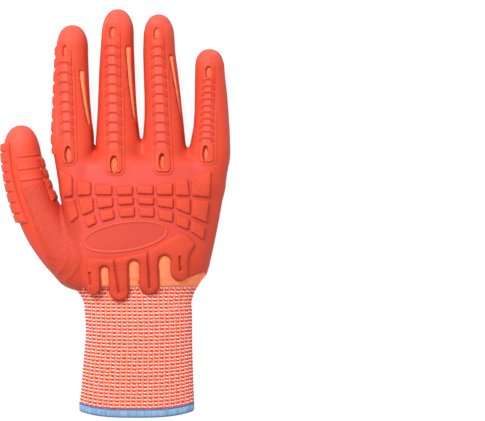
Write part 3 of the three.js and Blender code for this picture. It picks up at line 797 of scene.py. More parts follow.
def finish(name):
    """The named material, made once."""
    if name not in FINISHES:
        paint = colours()
        makers = {
            # On skin, oval and ribs the last three colours are a tint or painted highlight,
            # painted light and painted shade
            "skin": lambda: rubber_finish("skin_rubber", paint.rubber, 0.55, 0.8,
                                          paint.recess, paint.tip, paint.flank),
            "badge": lambda: rubber_finish("badge_rubber", paint.badge, 0.6, 0.5,
                                           paint.rim, paint.tip, paint.flank),
            "guard": lambda: rubber_finish("guard_rubber", paint.guard, 0.62, 1.0),
            "ribbed": lambda: rubber_finish("ribbed_rubber", paint.guard, 0.56, 0.5,
                                            paint.edge, paint.tip, paint.flank),
            "plain": lambda: rubber_finish("plain_rubber", paint.guard, 0.58, 0.25),
            "pad": lambda: pad_finish("pad_rubber", paint.pad),
            "knit": lambda: knit_finish("liner_knit", paint.knit, paint.lit_knit,
                                        paint.fleck),
            "cuff": lambda: yarn_finish("cuff_yarn", [paint.yarn, paint.white, paint.pale,
                                                      paint.orange], paint.light_yarn),
            "hem": lambda: yarn_finish("hem_thread", [paint.hem, paint.hem_edge, paint.knit,
                                                      paint.hem_light]),
        }
        FINISHES[name] = makers[name]()
    return FINISHES[name]


# Layout of the back


def ellipse(x, y, middle, half_wide, half_long, turn=0.0):
    """Distance from an ellipse, negative inside."""
    c, s = math.cos(turn), math.sin(turn)
    u = (x - middle[0]) * c + (y - middle[1]) * s
    v = (y - middle[1]) * c - (x - middle[0]) * s
    ring = np.hypot(u / half_wide, v / half_long) + 1e-6
    fall = np.hypot(u / half_wide ** 2, v / half_long ** 2) / ring + 1e-6
    return (ring - 1) / fall


def boxed(side, end, corner):
    """Distance from a rounded corner, from the distances past its two sides."""
    return (np.hypot(np.maximum(side + corner, 0), np.maximum(end + corner, 0)) - corner
            + np.minimum(np.maximum(side, end) + corner, 0))


def polygon(x, y, corners, radius=0.0):
    """Distance from a convex polygon with rounded corners, negative inside."""
    corners = np.asarray(corners, float)
    following = np.roll(corners, -1, 0)
    area = np.sum(corners[:, 0] * following[:, 1] - following[:, 0] * corners[:, 1])
    turn = 1 if area > 0 else -1
    outside = np.zeros(np.shape(x))
    nearest = np.full(np.shape(x), -np.inf)
    for (x0, y0), (x1, y1) in zip(corners, following):
        reach = math.hypot(x1 - x0, y1 - y0)
        away = turn * ((x - x0) * (y1 - y0) - (y - y0) * (x1 - x0)) / reach + radius
        outside = outside + np.maximum(away, 0) ** 2
        nearest = np.maximum(nearest, away)
    return np.where(nearest > 0, np.sqrt(outside), nearest) - radius


def capsule(x, y, start, end, radius):
    """Distance from a round-ended bar."""
    leg = (end[0] - start[0], end[1] - start[1])
    share = ((x - start[0]) * leg[0] + (y - start[1]) * leg[1]) / (leg[0] ** 2 + leg[1] ** 2)
    share = np.clip(share, 0, 1)
    return np.hypot(x - start[0] - share * leg[0], y - start[1] - share * leg[1]) - radius


def above_line(x, y, line):
    """How far a place lies above a line across the hand, in steps of the grid."""
    line = np.asarray(line, float)
    return np.interp(x, line[:, 0], line[:, 1]) - y


# Finger guards on the layout grid: first groove, pitch and count, the flat's two edges and the
# two wings' widths at the first and at the last groove, the two holes and the base end
GUARDS = {
    "index": {"first": 63.3, "pitch": 9.93, "grooves": 8, "top": (60.6, 67.6, 4.1, 4.7),
              "base": (63.9, 71.6, 2.6, 3.4), "tip_hole": (64.8, 50.8, 2.3, 5.2),
              "base_hole": (69.2, 154.7, 2.7, 7.4), "end": 164.0, "ledge": 60.0},
    "middle": {"first": 46.4, "pitch": 9.66, "grooves": 11, "top": (108.0, 115.0, 3.9, 6.0),
               "base": (110.2, 119.0, 3.6, 3.9), "tip_hole": (112.5, 32.5, 2.9, 5.5),
               "base_hole": (114.8, 164.8, 3.4, 8.0), "end": 173.8, "ledge": 80.0},
    "ring": {"first": 47.3, "pitch": 9.57, "grooves": 11, "top": (154.4, 161.2, 4.1, 3.8),
             "base": (157.2, 166.2, 3.3, 4.0), "tip_hole": (156.9, 33.3, 2.9, 5.8),
             "base_hole": (162.5, 162.0, 2.5, 7.4), "end": 173.0, "ledge": 62.0},
    "little": {"first": 80.5, "pitch": 6.556, "grooves": 10, "top": (205.6, 211.6, 4.1, 3.6),
               "base": (202.4, 210.6, 3.1, 4.1), "tip_hole": (208.6, 71.9, 2.9, 5.4),
               "base_hole": (205.9, 154.4, 2.2, 7.4), "end": 163.3, "ledge": 108.0},
}

# Slots that show the liner beside a guard, on the right of the finger: the place of both ends,
# and the two edges there as shares of the half width
UPPER_SLOTS = {
    "index": {"top": (70.5, 0.47, 0.67), "low": (124.5, 0.77, 0.925)},
    "middle": {"top": (46.5, 0.53, 0.75), "low": (119.0, 0.78, 0.91)},
    "ring": {"top": (55.5, 0.61, 0.76), "low": (119.0, 0.86, 0.98)},
}
LOWER_SLOTS = {
    "index": {"sides": (1,), "span": (0.27, 0.64)},
    "middle": {"sides": (-1, 1), "span": (0.29, 0.74)},
    "ring": {"sides": (-1, 1), "span": (0.32, 0.7)},
    "little": {"sides": (-1,), "span": (0.36, 0.7)},
}
LOWER_EDGES = (0.78, 0.955)

KNUCKLE_BLOCKS = [
    [(61, 170.6), (73.5, 177), (73.5, 195.8), (65.4, 196.4)],
    [(77.5, 179.5), (92, 182.6), (92, 195), (78.4, 195.5)],
    [(96.2, 183.8), (113, 186), (112.8, 195), (96.7, 195)],
    [(117.4, 186.4), (133.5, 186.4), (133.2, 195), (118, 195.3)],
    [(137.5, 185.8), (154, 185.6), (153.8, 194.4), (138, 193.8)],
    [(157, 185), (172.9, 183.5), (172.9, 194.9), (157.6, 195.2)],
    [(175.5, 181.4), (188, 179.7), (189.6, 195.8), (176.4, 195.5)],
    [(191, 178.2), (211.3, 171.5), (209.2, 197), (192.5, 195.8)],
    [(66.3, 198.7), (75.2, 199), (80, 216.5), (72.3, 222.8)],
    [(79.2, 199), (93.9, 198), (95, 210.8), (83.8, 215.4)],
    [(97.3, 197.8), (114, 197.6), (114, 206.5), (99, 208.7)],
    [(118, 197.6), (134.3, 197.3), (134, 204.2), (119.4, 205.3)],
    [(138, 197.3), (154.4, 197.6), (154.4, 204.9), (139.2, 204.2)],
    [(157.3, 197.9), (173.7, 198.2), (173.5, 208.4), (158.2, 206.4)],
    [(176.4, 198.8), (190.5, 199), (189.9, 214.3), (176.7, 209)],
    [(192.8, 199.9), (208.7, 201), (205.7, 222.5), (191.9, 216.4)],
    [(85, 219.7), (95, 214.5), (97.9, 222.8), (89, 227.4)],
    [(99.9, 211.6), (114.2, 209.3), (115.7, 218.2), (102.8, 221.7)],
    [(119.4, 208.2), (135.2, 207.3), (135.2, 216.2), (121, 217.4)],
    [(139.8, 207.3), (154.7, 207.9), (154.7, 217), (140.4, 216.2)],
    [(158.8, 209.3), (173.7, 212), (172.9, 222.2), (159.7, 219.3)],
    [(177, 214.6), (189.6, 219), (188, 229.6), (176.7, 224.9)],
    [(192.5, 221), (204.8, 226.3), (202.8, 239.5), (190.8, 231.3)],
]
BADGE = {"middle": (126.0, 236.5), "long": 42.0, "wide": 14.2, "turn": -8.5}

# Wrist guard: its body, its teeth, the arches between them and its slits
COMB_BODY = [(87.8, 258.6), (114.4, 259.6), (146.7, 252), (178.6, 234.2), (185, 233.6),
             (195.6, 243.8), (188.9, 253), (187.7, 259), (187.7, 270), (88, 270)]
COMB_TEETH = [
    {"left": 88.0, "right": 100.0, "end": 293.5, "lean": 0.6},
    {"left": 110.6, "right": 128.0, "end": 299.0, "lean": 0.5},
    {"left": 141.0, "right": 158.0, "end": 292.7, "lean": 0.4},
    {"left": 172.4, "right": 187.7, "end": 279.4, "lean": 0.2},
]
COMB_ARCHES = [
    {"middle": 105.3, "top": 264.6, "wide": 5.3},
    {"middle": 134.5, "top": 258.6, "wide": 6.4},
    {"middle": 165.2, "top": 253.8, "wide": 7.2},
]
ARCH_RIM = 1.6
COMB_SLITS = [((90.6, 272.4), (92.1, 283.6)), ((115.0, 257.0), (119.8, 292.0)),
              ((148.4, 246.0), (150.2, 286.4)), ((179.9, 256.2), (180.7, 269.0))]
BACK_EDGE = [(0, 279), (64, 282.6), (73, 284.6), (84.4, 287.8), (90, 288), (105, 274),
             (134.5, 266), (165, 262), (188, 277.5), (199.4, 273), (207, 271.8), (240, 268)]
PALM_EDGE = [(-0.6, -0.02), (-0.36, -0.025), (-0.335, 0.0), (-0.32, 0.03), (-0.3, 0.0),
             (-0.27, -0.036), (-0.17, -0.126), (-0.07, -0.175), (0.03, -0.188), (0.11, -0.178),
             (0.18, -0.154), (0.24, -0.12), (0.287, -0.082), (0.345, 0.06), (0.6, 0.1)]

THUMB_BARS = {
    "thumb_bar_tip": [(16.4, 158.2), (20.5, 153.2), (28, 150.2), (35, 151.2), (39.4, 155.2)],
    "thumb_bar_middle": [(16.1, 163.6), (39.5, 158.2), (41.8, 167.4), (17.7, 171)],
    "thumb_bar_low": [(17.7, 174.3), (41.8, 169.6), (45.7, 178.3), (20.1, 181.9)],
}
THUMB_PANEL = [(20.8, 186.4), (44.9, 179.7), (49, 190), (54.5, 204), (64, 217), (76, 238),
               (66, 262), (48.2, 257.4), (39, 233.5), (32, 214), (25, 198)]

GRAIN_AREA = [(20, 185), (46, 178), (62, 206), (70, 214), (84, 222), (86, 300), (58, 290),
              (36, 238), (23, 202)]

# The cuff's last row of yarn ends here: past it the liner reaches one row further
LAST_ROW_END = -10.0

# Painted shade in the creases, beside the webs and on the thumb's inner side, where the rubber is
# made deeper in colour: both ends, reach and depth
CREASE_SHADES = [((137.2, 124), (140.4, 141), 2.0, 1.0), ((92.2, 132), (95.4, 149), 2.2, 1.0),
           ((183.0, 132), (185.6, 147), 1.6, 0.9), ((47, 182), (59, 211), 6.5, 0.95),
           ((41, 157), (46, 180), 4.0, 0.8)]
BASE_RIDGES = [
    [(70.6, 244), (70.2, 252), (67.5, 261), (63.5, 268), (58.7, 272.8)],
    [(81, 246), (81.4, 256), (78.5, 266), (73.5, 274), (67, 279.5)],
]


def tooth_distance(x, y, margin=0.0):
    """Distance from the wrist guard's teeth on the grid."""
    nearest = np.full(np.shape(x), np.inf)
    for tooth in COMB_TEETH:
        half = (tooth["right"] - tooth["left"]) / 2
        middle = (tooth["right"] + tooth["left"]) / 2
        end = (middle + tooth["lean"], tooth["end"] - half)
        nearest = np.minimum(nearest, capsule(x, y, (middle, 270.0), end, half + margin))
    return nearest


def comb_distance(x, y):
    """Distance from the wrist guard's outline on the grid."""
    body = outline_distance(x, y, round_outline(COMB_BODY, 2.0))
    for arch in COMB_ARCHES:
        start = (arch["middle"], arch["top"] + arch["wide"])
        body = np.maximum(body, -capsule(x, y, start, (arch["middle"], 330.0), arch["wide"]))
    return np.minimum(body, tooth_distance(x, y))


def back_keep(x, y):
    """How far a place lies within the rubber's wrist edge on the back, on the grid."""
    keep = above_line(x, y, BACK_EDGE) * 0.9
    for arch in COMB_ARCHES:
        wide = arch["wide"] - ARCH_RIM
        start = (arch["middle"], arch["top"] + ARCH_RIM + wide)
        keep = np.minimum(keep, capsule(x, y, start, (arch["middle"], 330.0), wide))
    return np.maximum(keep, -tooth_distance(x, y, ARCH_RIM))


def palm_keep(x, y):
    """How far a place lies within the rubber's wrist edge on the palm side, in millimetres."""
    edge = np.array(PALM_EDGE)
    line = CUFF_LENGTH + np.interp(x / PALM_WIDTH, edge[:, 0], edge[:, 1]) * PALM_LENGTH
    return (y - line) * 0.8


def upper_slot(name, across, wide, gy):
    """Distance from the slot on a finger's right, in millimetres, negative inside."""
    row = UPPER_SLOTS[name]
    run = np.clip((gy - row["top"][0]) / (row["low"][0] - row["top"][0]), 0, 1)
    left = row["top"][1] + (row["low"][1] - row["top"][1]) * run
    right = row["top"][2] + (row["low"][2] - row["top"][2]) * run + 0.08 * np.exp(-run / 0.09)
    half = (right - left) / 2 * (1 - 0.35 * run ** 2.5)
    side = np.abs(across - (left + right) / 2 * wide) - half * wide
    ends = np.maximum(row["top"][0] - gy, gy - row["low"][0]) * GRID
    slot = np.hypot(np.maximum(side + 0.8, 0), np.maximum(ends + 0.8, 0)) - 0.8
    return np.where(np.maximum(side, ends) > -0.8, slot, np.maximum(side, ends))


def liner_rise(points):
    """How far the liner swells out into the rubber's slots."""
    x, y, z = points.T
    gx, gy = grid(x, y)
    past = step(-back_keep(gx, gy) * GRID, -0.2, 1.4) * (z > 16)
    rise = 0.8 * past * step(y, 87.0, 90.0) - 0.45 * (1 - step(y, 83.5, 87.0))
    for name in UPPER_SLOTS:
        digit = DIGITS[name]
        along, across = digit.place(x, y)
        wide, _, high = digit.section(along)
        near = (np.abs(across) < wide + 2) & (along > 0.1) & (z > high)
        swell = 0.95 * step(0.7 - upper_slot(name, across, wide, gy), 0.0, 1.3)
        rise = np.maximum(rise, np.where(near, swell, 0))
    return rise


def rubber_keep(x, y, z):
    """Positive where the rubber stays, negative in its windows and past the wrist."""
    gx, gy = grid(x, y)
    _, _, _, high = sleeve_section(y)
    back = step(z - high, -4.0, 4.0)
    keep = back * back_keep(gx, gy) * GRID + (1 - back) * palm_keep(x, y)
    for name in FINGERS:
        digit = DIGITS[name]
        along, across = digit.place(x, y)
        wide, _, high = digit.section(along)
        near = (np.abs(across) < wide + 2) & (along > -0.12)
        share = across / wide
        for hole in (GUARDS[name]["tip_hole"], GUARDS[name]["base_hole"]):
            oval = ellipse(gx, gy, hole[:2], hole[2], hole[3]) * GRID
            keep = np.where(near & (z > high), np.minimum(keep, oval), keep)
        if name in UPPER_SLOTS:
            slot = upper_slot(name, share * wide, wide, gy)
            keep = np.where(near & (z > high + 1), np.minimum(keep, slot), keep)
        row = LOWER_SLOTS[name]
        for hand in row["sides"]:
            middle = hand * sum(LOWER_EDGES) / 2
            run = (along - row["span"][0]) / (row["span"][1] - row["span"][0])
            bow = np.sqrt(np.clip(4 * run * (1 - run), 0, 1))
            half = (LOWER_EDGES[1] - LOWER_EDGES[0]) / 2 * bow
            side = (np.abs(share - middle) - half) * wide + (bow == 0) * 0.3
            keep = np.where(near & (z < high - 1) & (along > -0.1), np.minimum(keep, side), keep)
    return keep


def ridge_line(x, y, line, wide):
    """Nearness to a drawn line, from 0 to 1."""
    nearest = np.full(np.shape(x), np.inf)
    for start, end in zip(line[:-1], line[1:]):
        nearest = np.minimum(nearest, capsule(x, y, start, end, 0.0))
    return np.exp(-(nearest / wide) ** 2)


def skin_relief(points):
    """The shallow trough of the rubber along the hand's outer side."""
    x, y, z = points.T
    gx, gy = grid(x, y)
    edge = np.interp(gy, [165, 240], [214.0, 205.5])
    outer = np.interp(gy, [165, 200, 240, 260], [228.0, 223.0, 214.0, 210.0])
    run = np.clip((gx - edge) / (outer - edge), 0, 1)
    fade = step(gy, 158, 176) * (1 - step(gy, 232, 262))
    return -0.6 * np.sin(math.pi * run) * fade * (z > 16)


def tip_ripples(points):
    """Distance from each fingertip in millimetres, and the depth of the ripples there."""
    x, y, z = points.T
    ring = np.zeros(len(points))
    depth = np.zeros(len(points))
    for name in FINGERS:
        digit = DIGITS[name]
        along, across = digit.place(x, y)
        wide, _, high = digit.section(along)
        inside = (np.abs(across) < wide + 3) & (along > 0.8) & (z > high)
        reach = (1 - along) * digit.length + 0.09 * across ** 2
        ring = np.where(inside, reach, ring)
        depth = np.where(inside, np.exp(-((reach - 6.5) / 3.6) ** 2), depth)
    return ring, depth


def grain_mask(points):
    """Where the rubber is pebbled: the thumb's root and the hand beside the oval."""
    x, y, z = points.T
    gx, gy = grid(x, y)
    area = outline_distance(gx, gy, GRAIN_AREA)
    return 0.1 + 0.9 * step(-area, -1, 6) * (z > 8)


def fingertip_light_mask(points):
    """Painted light: the ends of the digits made paler, where they slope up towards the light."""
    x, y, _ = points.T
    share = np.zeros(len(points))
    for digit in DIGITS.values():
        along, across = digit.place(x, y)
        near = np.abs(across) < digit.width
        share = np.maximum(share, np.where(near, step(along, 0.8, 1.02), 0))
    return share


def flank_and_crease_shade(points):
    """Painted shade: the rubber made deeper in colour on its steep flanks and in its creases."""
    x, y, z = points.T
    gx, gy = grid(x, y)
    steep = np.abs(outward(hand_field, points)[:, 2])
    share = 0.62 * step(0.62 - steep, 0, 0.4)
    for start, end, wide, depth in CREASE_SHADES:
        away = capsule(gx, gy, start, end, 0.0)
        share = np.maximum(share, depth * np.exp(-(away / wide) ** 2) * (z > 6))
    return share


def smooth_mask(points):
    """Where the rubber is smooth and a little pink: among the knuckle blocks."""
    x, y, z = points.T
    gx, gy = grid(x, y)
    band = polygon(gx, gy, [(60, 160), (213, 160), (206, 243), (170, 252), (84, 262), (60, 215)])
    return step(-band, -6, 10) * (z > 20)


def mark_rubber(piece, points):
    """Stores the shares of the rubber's tint, grain and painted shade on a piece of skin."""
    set_attribute(piece, "smooth", smooth_mask(points))
    set_attribute(piece, "grain", grain_mask(points))
    set_attribute(piece, "flank", flank_and_crease_shade(points))


# Raised pieces


def skin_height(x, y, inner, below):
    """Height of the hand's skin over a plan place, and whether the hand is there."""
    outer = np.full(np.shape(x), -15.0 if below else 60.0)
    inside = np.full(np.shape(x), float(inner))
    there = hand_field(x, y, inside) < 0
    for _ in range(18):
        middle = (outer + inside) / 2
        hit = hand_field(x, y, middle) < 0
        inside = np.where(hit, middle, inside)
        outer = np.where(hit, outer, middle)
    return (inside + outer) / 2, there


def grid_faces(rows, columns, keep):
    """Quads of a grid of points whose four corners are kept."""
    index = np.arange(rows * columns).reshape(rows, columns)
    quads = np.stack([index[:-1, :-1], index[:-1, 1:], index[1:, 1:], index[1:, :-1]], -1)
    return quads.reshape(-1, 4)[keep.reshape(-1)]


def raise_piece(name, base, normal, height, there, material, wall=1.1, floor=-0.32):
    """A raised piece on a grid of points of the skin, sunk into it where its height is low."""
    rows, columns = height.shape
    low = height <= floor + 0.01
    corner = [low[:-1, :-1], low[:-1, 1:], low[1:, 1:], low[1:, :-1]]
    keep = ~(corner[0] & corner[1] & corner[2] & corner[3])
    sound = there[:-1, :-1] & there[:-1, 1:] & there[1:, 1:] & there[1:, :-1]
    quads = grid_faces(rows, columns, keep & sound)
    points = base + normal * np.maximum(height, floor)[..., None]
    points, quads, used = compact(points.reshape(-1, 3), quads)
    first = quads[len(quads) // 2]
    turn = np.cross(points[first[1]] - points[first[0]], points[first[2]] - points[first[1]])
    if turn @ normal.reshape(-1, 3)[used][first[0]] < 0:
        quads = quads[:, ::-1]
    piece = make_object(name, points, quads, material)
    return thicken(piece, wall)


def raise_plan(name, x_span, y_span, pitch, form, material, inner=20.0, below=False, **options):
    """A raised piece over a rectangle of the layout grid; form gives its height there."""
    columns = int((x_span[1] - x_span[0]) * GRID / pitch) + 1
    rows = int((y_span[1] - y_span[0]) * GRID / pitch) + 1
    gx, gy = np.meshgrid(np.linspace(*x_span, columns), np.linspace(*y_span, rows))
    x, y = plan(gx, gy)
    z, there = skin_height(x.ravel(), y.ravel(), inner, below)
    base = np.stack([x.ravel(), y.ravel(), z], 1)
    normal = outward(hand_field, base, 0.4)
    height = form(gx, gy)
    shape = (rows, columns)
    return raise_piece(name, base.reshape(*shape, 3), normal.reshape(*shape, 3), height,
                       there.reshape(shape), material, **options)


def raise_round(name, digit_name, span, turns, side, pitch, form, material, **options):
    """A raised piece round a digit's side; form gives its height by layout place and angle."""
    digit = DIGITS[digit_name]
    rows = int((span[1] - span[0]) * digit.length / pitch) + 1
    columns = int(math.radians(turns[1] - turns[0]) * digit.width / 2 / pitch) + 1
    turn, along = np.meshgrid(np.linspace(*turns, columns), np.linspace(*span, rows))
    cx, cy = digit.centre(along.ravel())
    ahead_x, ahead_y = digit.centre(along.ravel() + 0.01)
    back_x, back_y = digit.centre(along.ravel() - 0.01)
    run = np.stack([ahead_x - back_x, ahead_y - back_y], 1)
    run /= np.linalg.norm(run, axis=1)[:, None]
    angle = np.radians(turn.ravel())
    _, _, high = digit.section(along.ravel())
    centre = np.stack([cx, cy, high], 1)
    way = np.stack([side * run[:, 1] * np.cos(angle), -side * run[:, 0] * np.cos(angle),
                    np.sin(angle)], 1)
    near = np.zeros(len(angle))
    far = np.full(len(angle), digit.width * 0.85)
    for _ in range(18):
        middle = (near + far) / 2
        hit = hand_field(*(centre + way * middle[:, None]).T) < 0
        near = np.where(hit, middle, near)
        far = np.where(hit, far, middle)
    base = centre + way * near[:, None]
    normal = outward(hand_field, base, 0.4)
    shape = (rows, columns)
    _, place = grid(base[:, 0], base[:, 1])
    return raise_piece(name, base.reshape(*shape, 3), normal.reshape(*shape, 3),
                       form(place.reshape(shape), turn), np.ones(shape, bool), material,
                       **options)


def last_groove(row):
    """Place of a finger guard's last groove on the layout grid."""
    return row["first"] + row["pitch"] * (row["grooves"] - 1)


def guard_layout(row, x, y):
    """Where a place lies on a finger guard.

    How far down the wing, how far outside the guard, how far along with the grooves, and how
    far below the nearest groove.
    """
    last = last_groove(row)
    run = (y - row["first"]) / (last - row["first"])
    edges = [a + (b - a) * np.clip(run, -0.4, 1.3) for a, b in zip(row["top"], row["base"])]
    flat_left, flat_right, wing_left, wing_right = edges
    wing = np.where(x < (flat_left + flat_right) / 2, wing_left, wing_right)
    side = np.maximum(flat_left - wing_left - x, x - flat_right - wing_right)
    inner = boxed(side, y - row["end"], 5.0)
    drop = np.clip((np.maximum(flat_left - x, x - flat_right) + 0.8) / (wing + 0.8), 0, 1.4)
    lean = y - 4.4 * drop ** 1.1
    count = np.round((lean - row["first"]) / row["pitch"])
    away = lean - row["first"] - np.clip(count, 0, row["grooves"] - 1) * row["pitch"]
    return drop, inner, lean, away


def guard_light_and_shade(row, x, y):
    """Shares of painted shade, painted light and painted highlight on a finger guard: shade along
    the groove lines and on the wings, light on the flat tops, a highlight along the wings' outer
    parts.
    """
    drop, inner, lean, away = guard_layout(row, x, y)
    inside = step(-inner, -0.6, 0.4) * step(y, row["first"] - 5, row["first"])
    inside = inside * (lean < last_groove(row) + 3)
    line = np.exp(-((away + 0.6) / 0.8) ** 2) * (1 - step(drop, 0.85, 1.2))
    wing = step(drop, 0.02, 0.3) * (1 - step(drop, 0.85, 1.15))
    deep = np.maximum(0.9 * line, 0.22 * wing) * inside
    edge = np.exp(-((drop - 0.85) / 0.28) ** 2) * np.exp(-((away - 0.5) / 0.9) ** 2)
    return deep, 0.12 * (1 - step(drop, 0.0, 0.12)) * inside, 0.9 * edge * inside


def guard_form(name):
    """Height of a finger guard over the layout grid, in millimetres."""
    row = GUARDS[name]
    rib = millimetres(sizes().rib_height)
    groove = millimetres(sizes().groove_depth)

    def form(x, y):
        drop, inner, lean, away = guard_layout(row, x, y)
        fade = step(y, row["tip_hole"][1] - 12, row["first"] - 2)
        climb = 1 - 0.56 * np.clip(drop, 0, 1) - 0.14 * step(drop, 0.0, 1.0)
        plate = (0.14 + (rib - 0.3) * climb) * step(-inner, -0.1, 1.1)
        tile = np.mod(away, row["pitch"])
        within = ((lean > row["first"] - 3)
                  & (lean < last_groove(row) + 0.7 * row["pitch"]))
        slant = 1 - tile / row["pitch"] * step(row["pitch"] - tile, 0.0, 1.6)
        cut = groove * (0.42 * slant * within + 0.55 * np.exp(-((away + 0.1) / 0.62) ** 2))
        cut = cut * (1 - 0.5 * np.clip(drop, 0, 1)) * step(-inner, -0.3, 0.7)
        ledge_fade = step(y, row["ledge"], row["ledge"] + 14)
        ledge = 0.5 * step(2.7 - inner, -0.1, 0.8) * ledge_fade
        rim = 0.0
        height = plate * fade - cut + ledge
        for hole in (row["tip_hole"], row["base_hole"]):
            oval = ellipse(x, y, hole[:2], hole[2], hole[3])
            rim = rim + 0.3 * np.exp(-((oval - 1.2) / 0.8) ** 2)
            height = height * (1 - 0.35 * np.exp(-(np.maximum(oval, 0) / 3.0) ** 2))
        height = height + rim
        height = np.where(height < 0.04, SUNK, height)
        for hole in (row["tip_hole"], row["base_hole"]):
            oval = ellipse(x, y, hole[:2], hole[2], hole[3])
            height = np.where(oval < 0.35, -3.0, height)
        return height

    return form


def knuckle_form(x, y):
    """Height of the knuckle blocks over the layout grid."""
    tall = millimetres(sizes().knuckle_height)
    height = np.full(np.shape(x), SUNK)
    for corners in KNUCKLE_BLOCKS:
        away = polygon(x, y, corners, 1.7)
        crown = tall * (step(-away, -1.0, 0.75) + 0.07 * step(-away, 0.5, 4.0))
        height = np.maximum(height, np.where(away < 1.1, crown - 0.25, SUNK))
    return height


def badge_form(x, y):
    """Height of the bare oval and its rim."""
    rim = millimetres(sizes().rim_height)
    away = ellipse(x, y, BADGE["middle"], BADGE["long"], BADGE["wide"],
                   math.radians(BADGE["turn"]))
    inside = 0.2 * step(-away, -0.6, 0.6)
    ridge = rim * np.exp(-(away / 0.9) ** 2)
    return np.where(away < 1.9, inside + ridge - 0.1, SUNK)


def comb_form(x, y):
    """Height of the wrist guard."""
    tall = millimetres(sizes().comb_height)
    away = comb_distance(x, y)
    height = tall * (0.88 * step(-away, -0.9, 0.7) + 0.12 * step(-away, 0.7, 3.4))
    for start, end in COMB_SLITS:
        slit = capsule(x, y, start, end, 0.8)
        height = np.where(slit < 1.0, (height + 0.3) * step(slit, -0.3, 0.75) - 0.3, height)
    return np.where(away < 0.95, height, SUNK)


def bar_form(corners, tall, radius):
    """Height of a low bar on the thumb's face."""
    def form(x, y):
        away = polygon(x, y, corners, radius)
        rim = 0.16 * np.exp(-((away + 0.9) / 0.7) ** 2)
        return np.where(away < 0.9, tall * step(-away, -0.7, 0.9) + rim - 0.05, SUNK)
    return form


def panel_form(x, y):
    """Height of the thumb's textured panel, which runs out towards the palm."""
    away = outline_distance(x, y, THUMB_PANEL)
    left = np.interp(y, [180, 198, 214, 233.5, 257.4], [18.0, 25, 32, 39, 48.2])
    edge = 0.6 * step(-away, -0.8, 0.9)
    ledge = np.exp(-(np.maximum(x - left - 4, 0) / 7) ** 2)
    fade = (1 - step(y, 190, 240)) * (1 - step(x, 40, 62))
    height = edge * np.maximum(fade, ledge)
    return np.where(away < 0.9, height - 0.05 - 0.3 * (1 - fade) * (1 - ledge), SUNK)


def folds_form(x, y):
    """Height of the folds at the thumb's base."""
    height = np.zeros(np.shape(x))
    for line in BASE_RIDGES:
        height = height + 0.55 * ridge_line(x, y, line, 1.8)
    rim = ellipse(x, y, (74.0, 264.0), 22.0, 27.0)
    return height + 0.06 - 0.5 * step(rim, -5.0, 0.0)


def teeth_form(marks, turns, base, tall, edge, soft):
    """Height of a toothed strip: teeth between pairs of places down the layout grid."""
    def form(y, turn):
        strip = np.minimum(turn - turns[0], turns[1] - turn) / edge
        ends = np.minimum(y - marks[0][0] + 1.5, marks[-1][1] + 1.5 - y) / 1.5
        lip = 0.3 * np.exp(-((turns[1] - turn) / 2.4) ** 2)
        rail = (base + lip) * np.clip(np.minimum(strip + 1, ends), 0, 1)
        height = rail
        for start, end in marks:
            tooth = np.minimum(y - start, end - y) / soft
            inner = np.minimum(turn - turns[0] - edge, turns[1] - edge - turn) / edge
            height = np.maximum(height, rail + (tall - base)
                                * step(np.minimum(tooth, inner), -0.2, 1.0))
        return np.where(height > 0.02, height, SUNK)
    return form


THUMB_TEETH = [(144, 151.6), (152.4, 162.6), (163.5, 171.9), (172.8, 181.4),
               (182.3, 191.6), (192.5, 202.2), (203.1, 212.9), (213.8, 222)]
WEB_TEETH = [(158, 167.5), (169, 178), (179.5, 188), (190, 199), (200.5, 205)]
INDEX_TEETH = [(46, 55.5), (58, 68), (70.5, 81.5), (84, 93.5), (96, 105), (107.5, 118.5),
               (121, 131.5), (134, 144.5), (147, 154)]

PAD_SPANS = {
    "index": {"half": 0.36, "spans": [(0.655, 0.895), (0.41, 0.62), (0.14, 0.37)]},
    "middle": {"half": 0.37, "spans": [(0.68, 0.915), (0.43, 0.645), (0.16, 0.395)]},
    "ring": {"half": 0.36, "spans": [(0.63, 0.875), (0.4, 0.6), (0.13, 0.365)]},
    "little": {"half": 0.38, "spans": [(0.66, 0.915), (0.42, 0.6), (0.17, 0.38)]},
    "thumb": {"half": 0.58, "spans": [(0.7, 0.9), (0.5, 0.675)]},
}
PALM_FIELDS = {
    "finger_field": [(-0.4, 0.95), (-0.3, 0.98), (-0.2, 0.885), (-0.15, 0.96), (-0.08, 1.01),
                     (0, 0.97), (0.05, 0.895), (0.1, 0.95), (0.18, 0.97), (0.3, 0.805),
                     (0.4, 0.86), (0.445, 0.81), (0.415, 0.51), (0.16, 0.52), (-0.14, 0.635),
                     (-0.39, 0.81)],
    "crossing_field": [(-0.375, 0.69), (-0.34, 0.73), (-0.23, 0.66), (-0.1, 0.585),
                       (0.03, 0.54), (0.2, 0.48), (0.4, 0.445), (0.345, 0.1), (0.31, 0.09),
                       (0.25, 0.15), (0.12, 0.275), (-0.05, 0.41), (-0.27, 0.525),
                       (-0.37, 0.59)],
    "heel_field": [(-0.385, 0.545), (-0.27, 0.48), (-0.05, 0.365), (0.12, 0.23), (0.24, 0.115),
                   (0.31, 0.03), (0.28, -0.06), (0.18, -0.13), (0.03, -0.165), (-0.17, -0.1),
                   (-0.27, -0.01), (-0.34, 0.12), (-0.38, 0.3)],
}


def outline_distance(x, y, corners):
    """Distance from a closed outline of any shape, negative inside."""
    nearest = np.full(np.shape(x), np.inf)
    inside = np.zeros(np.shape(x), bool)
    for (x0, y0), (x1, y1) in zip(corners, corners[1:] + corners[:1]):
        nearest = np.minimum(nearest, capsule(x, y, (x0, y0), (x1, y1), 0.0))
        crosses = (y0 > y) != (y1 > y)
        rise = y1 - y0 if y1 != y0 else 1.0
        inside ^= crosses & (x < (x1 - x0) * (y - y0) / rise + x0)
    return np.where(inside, -nearest, nearest)


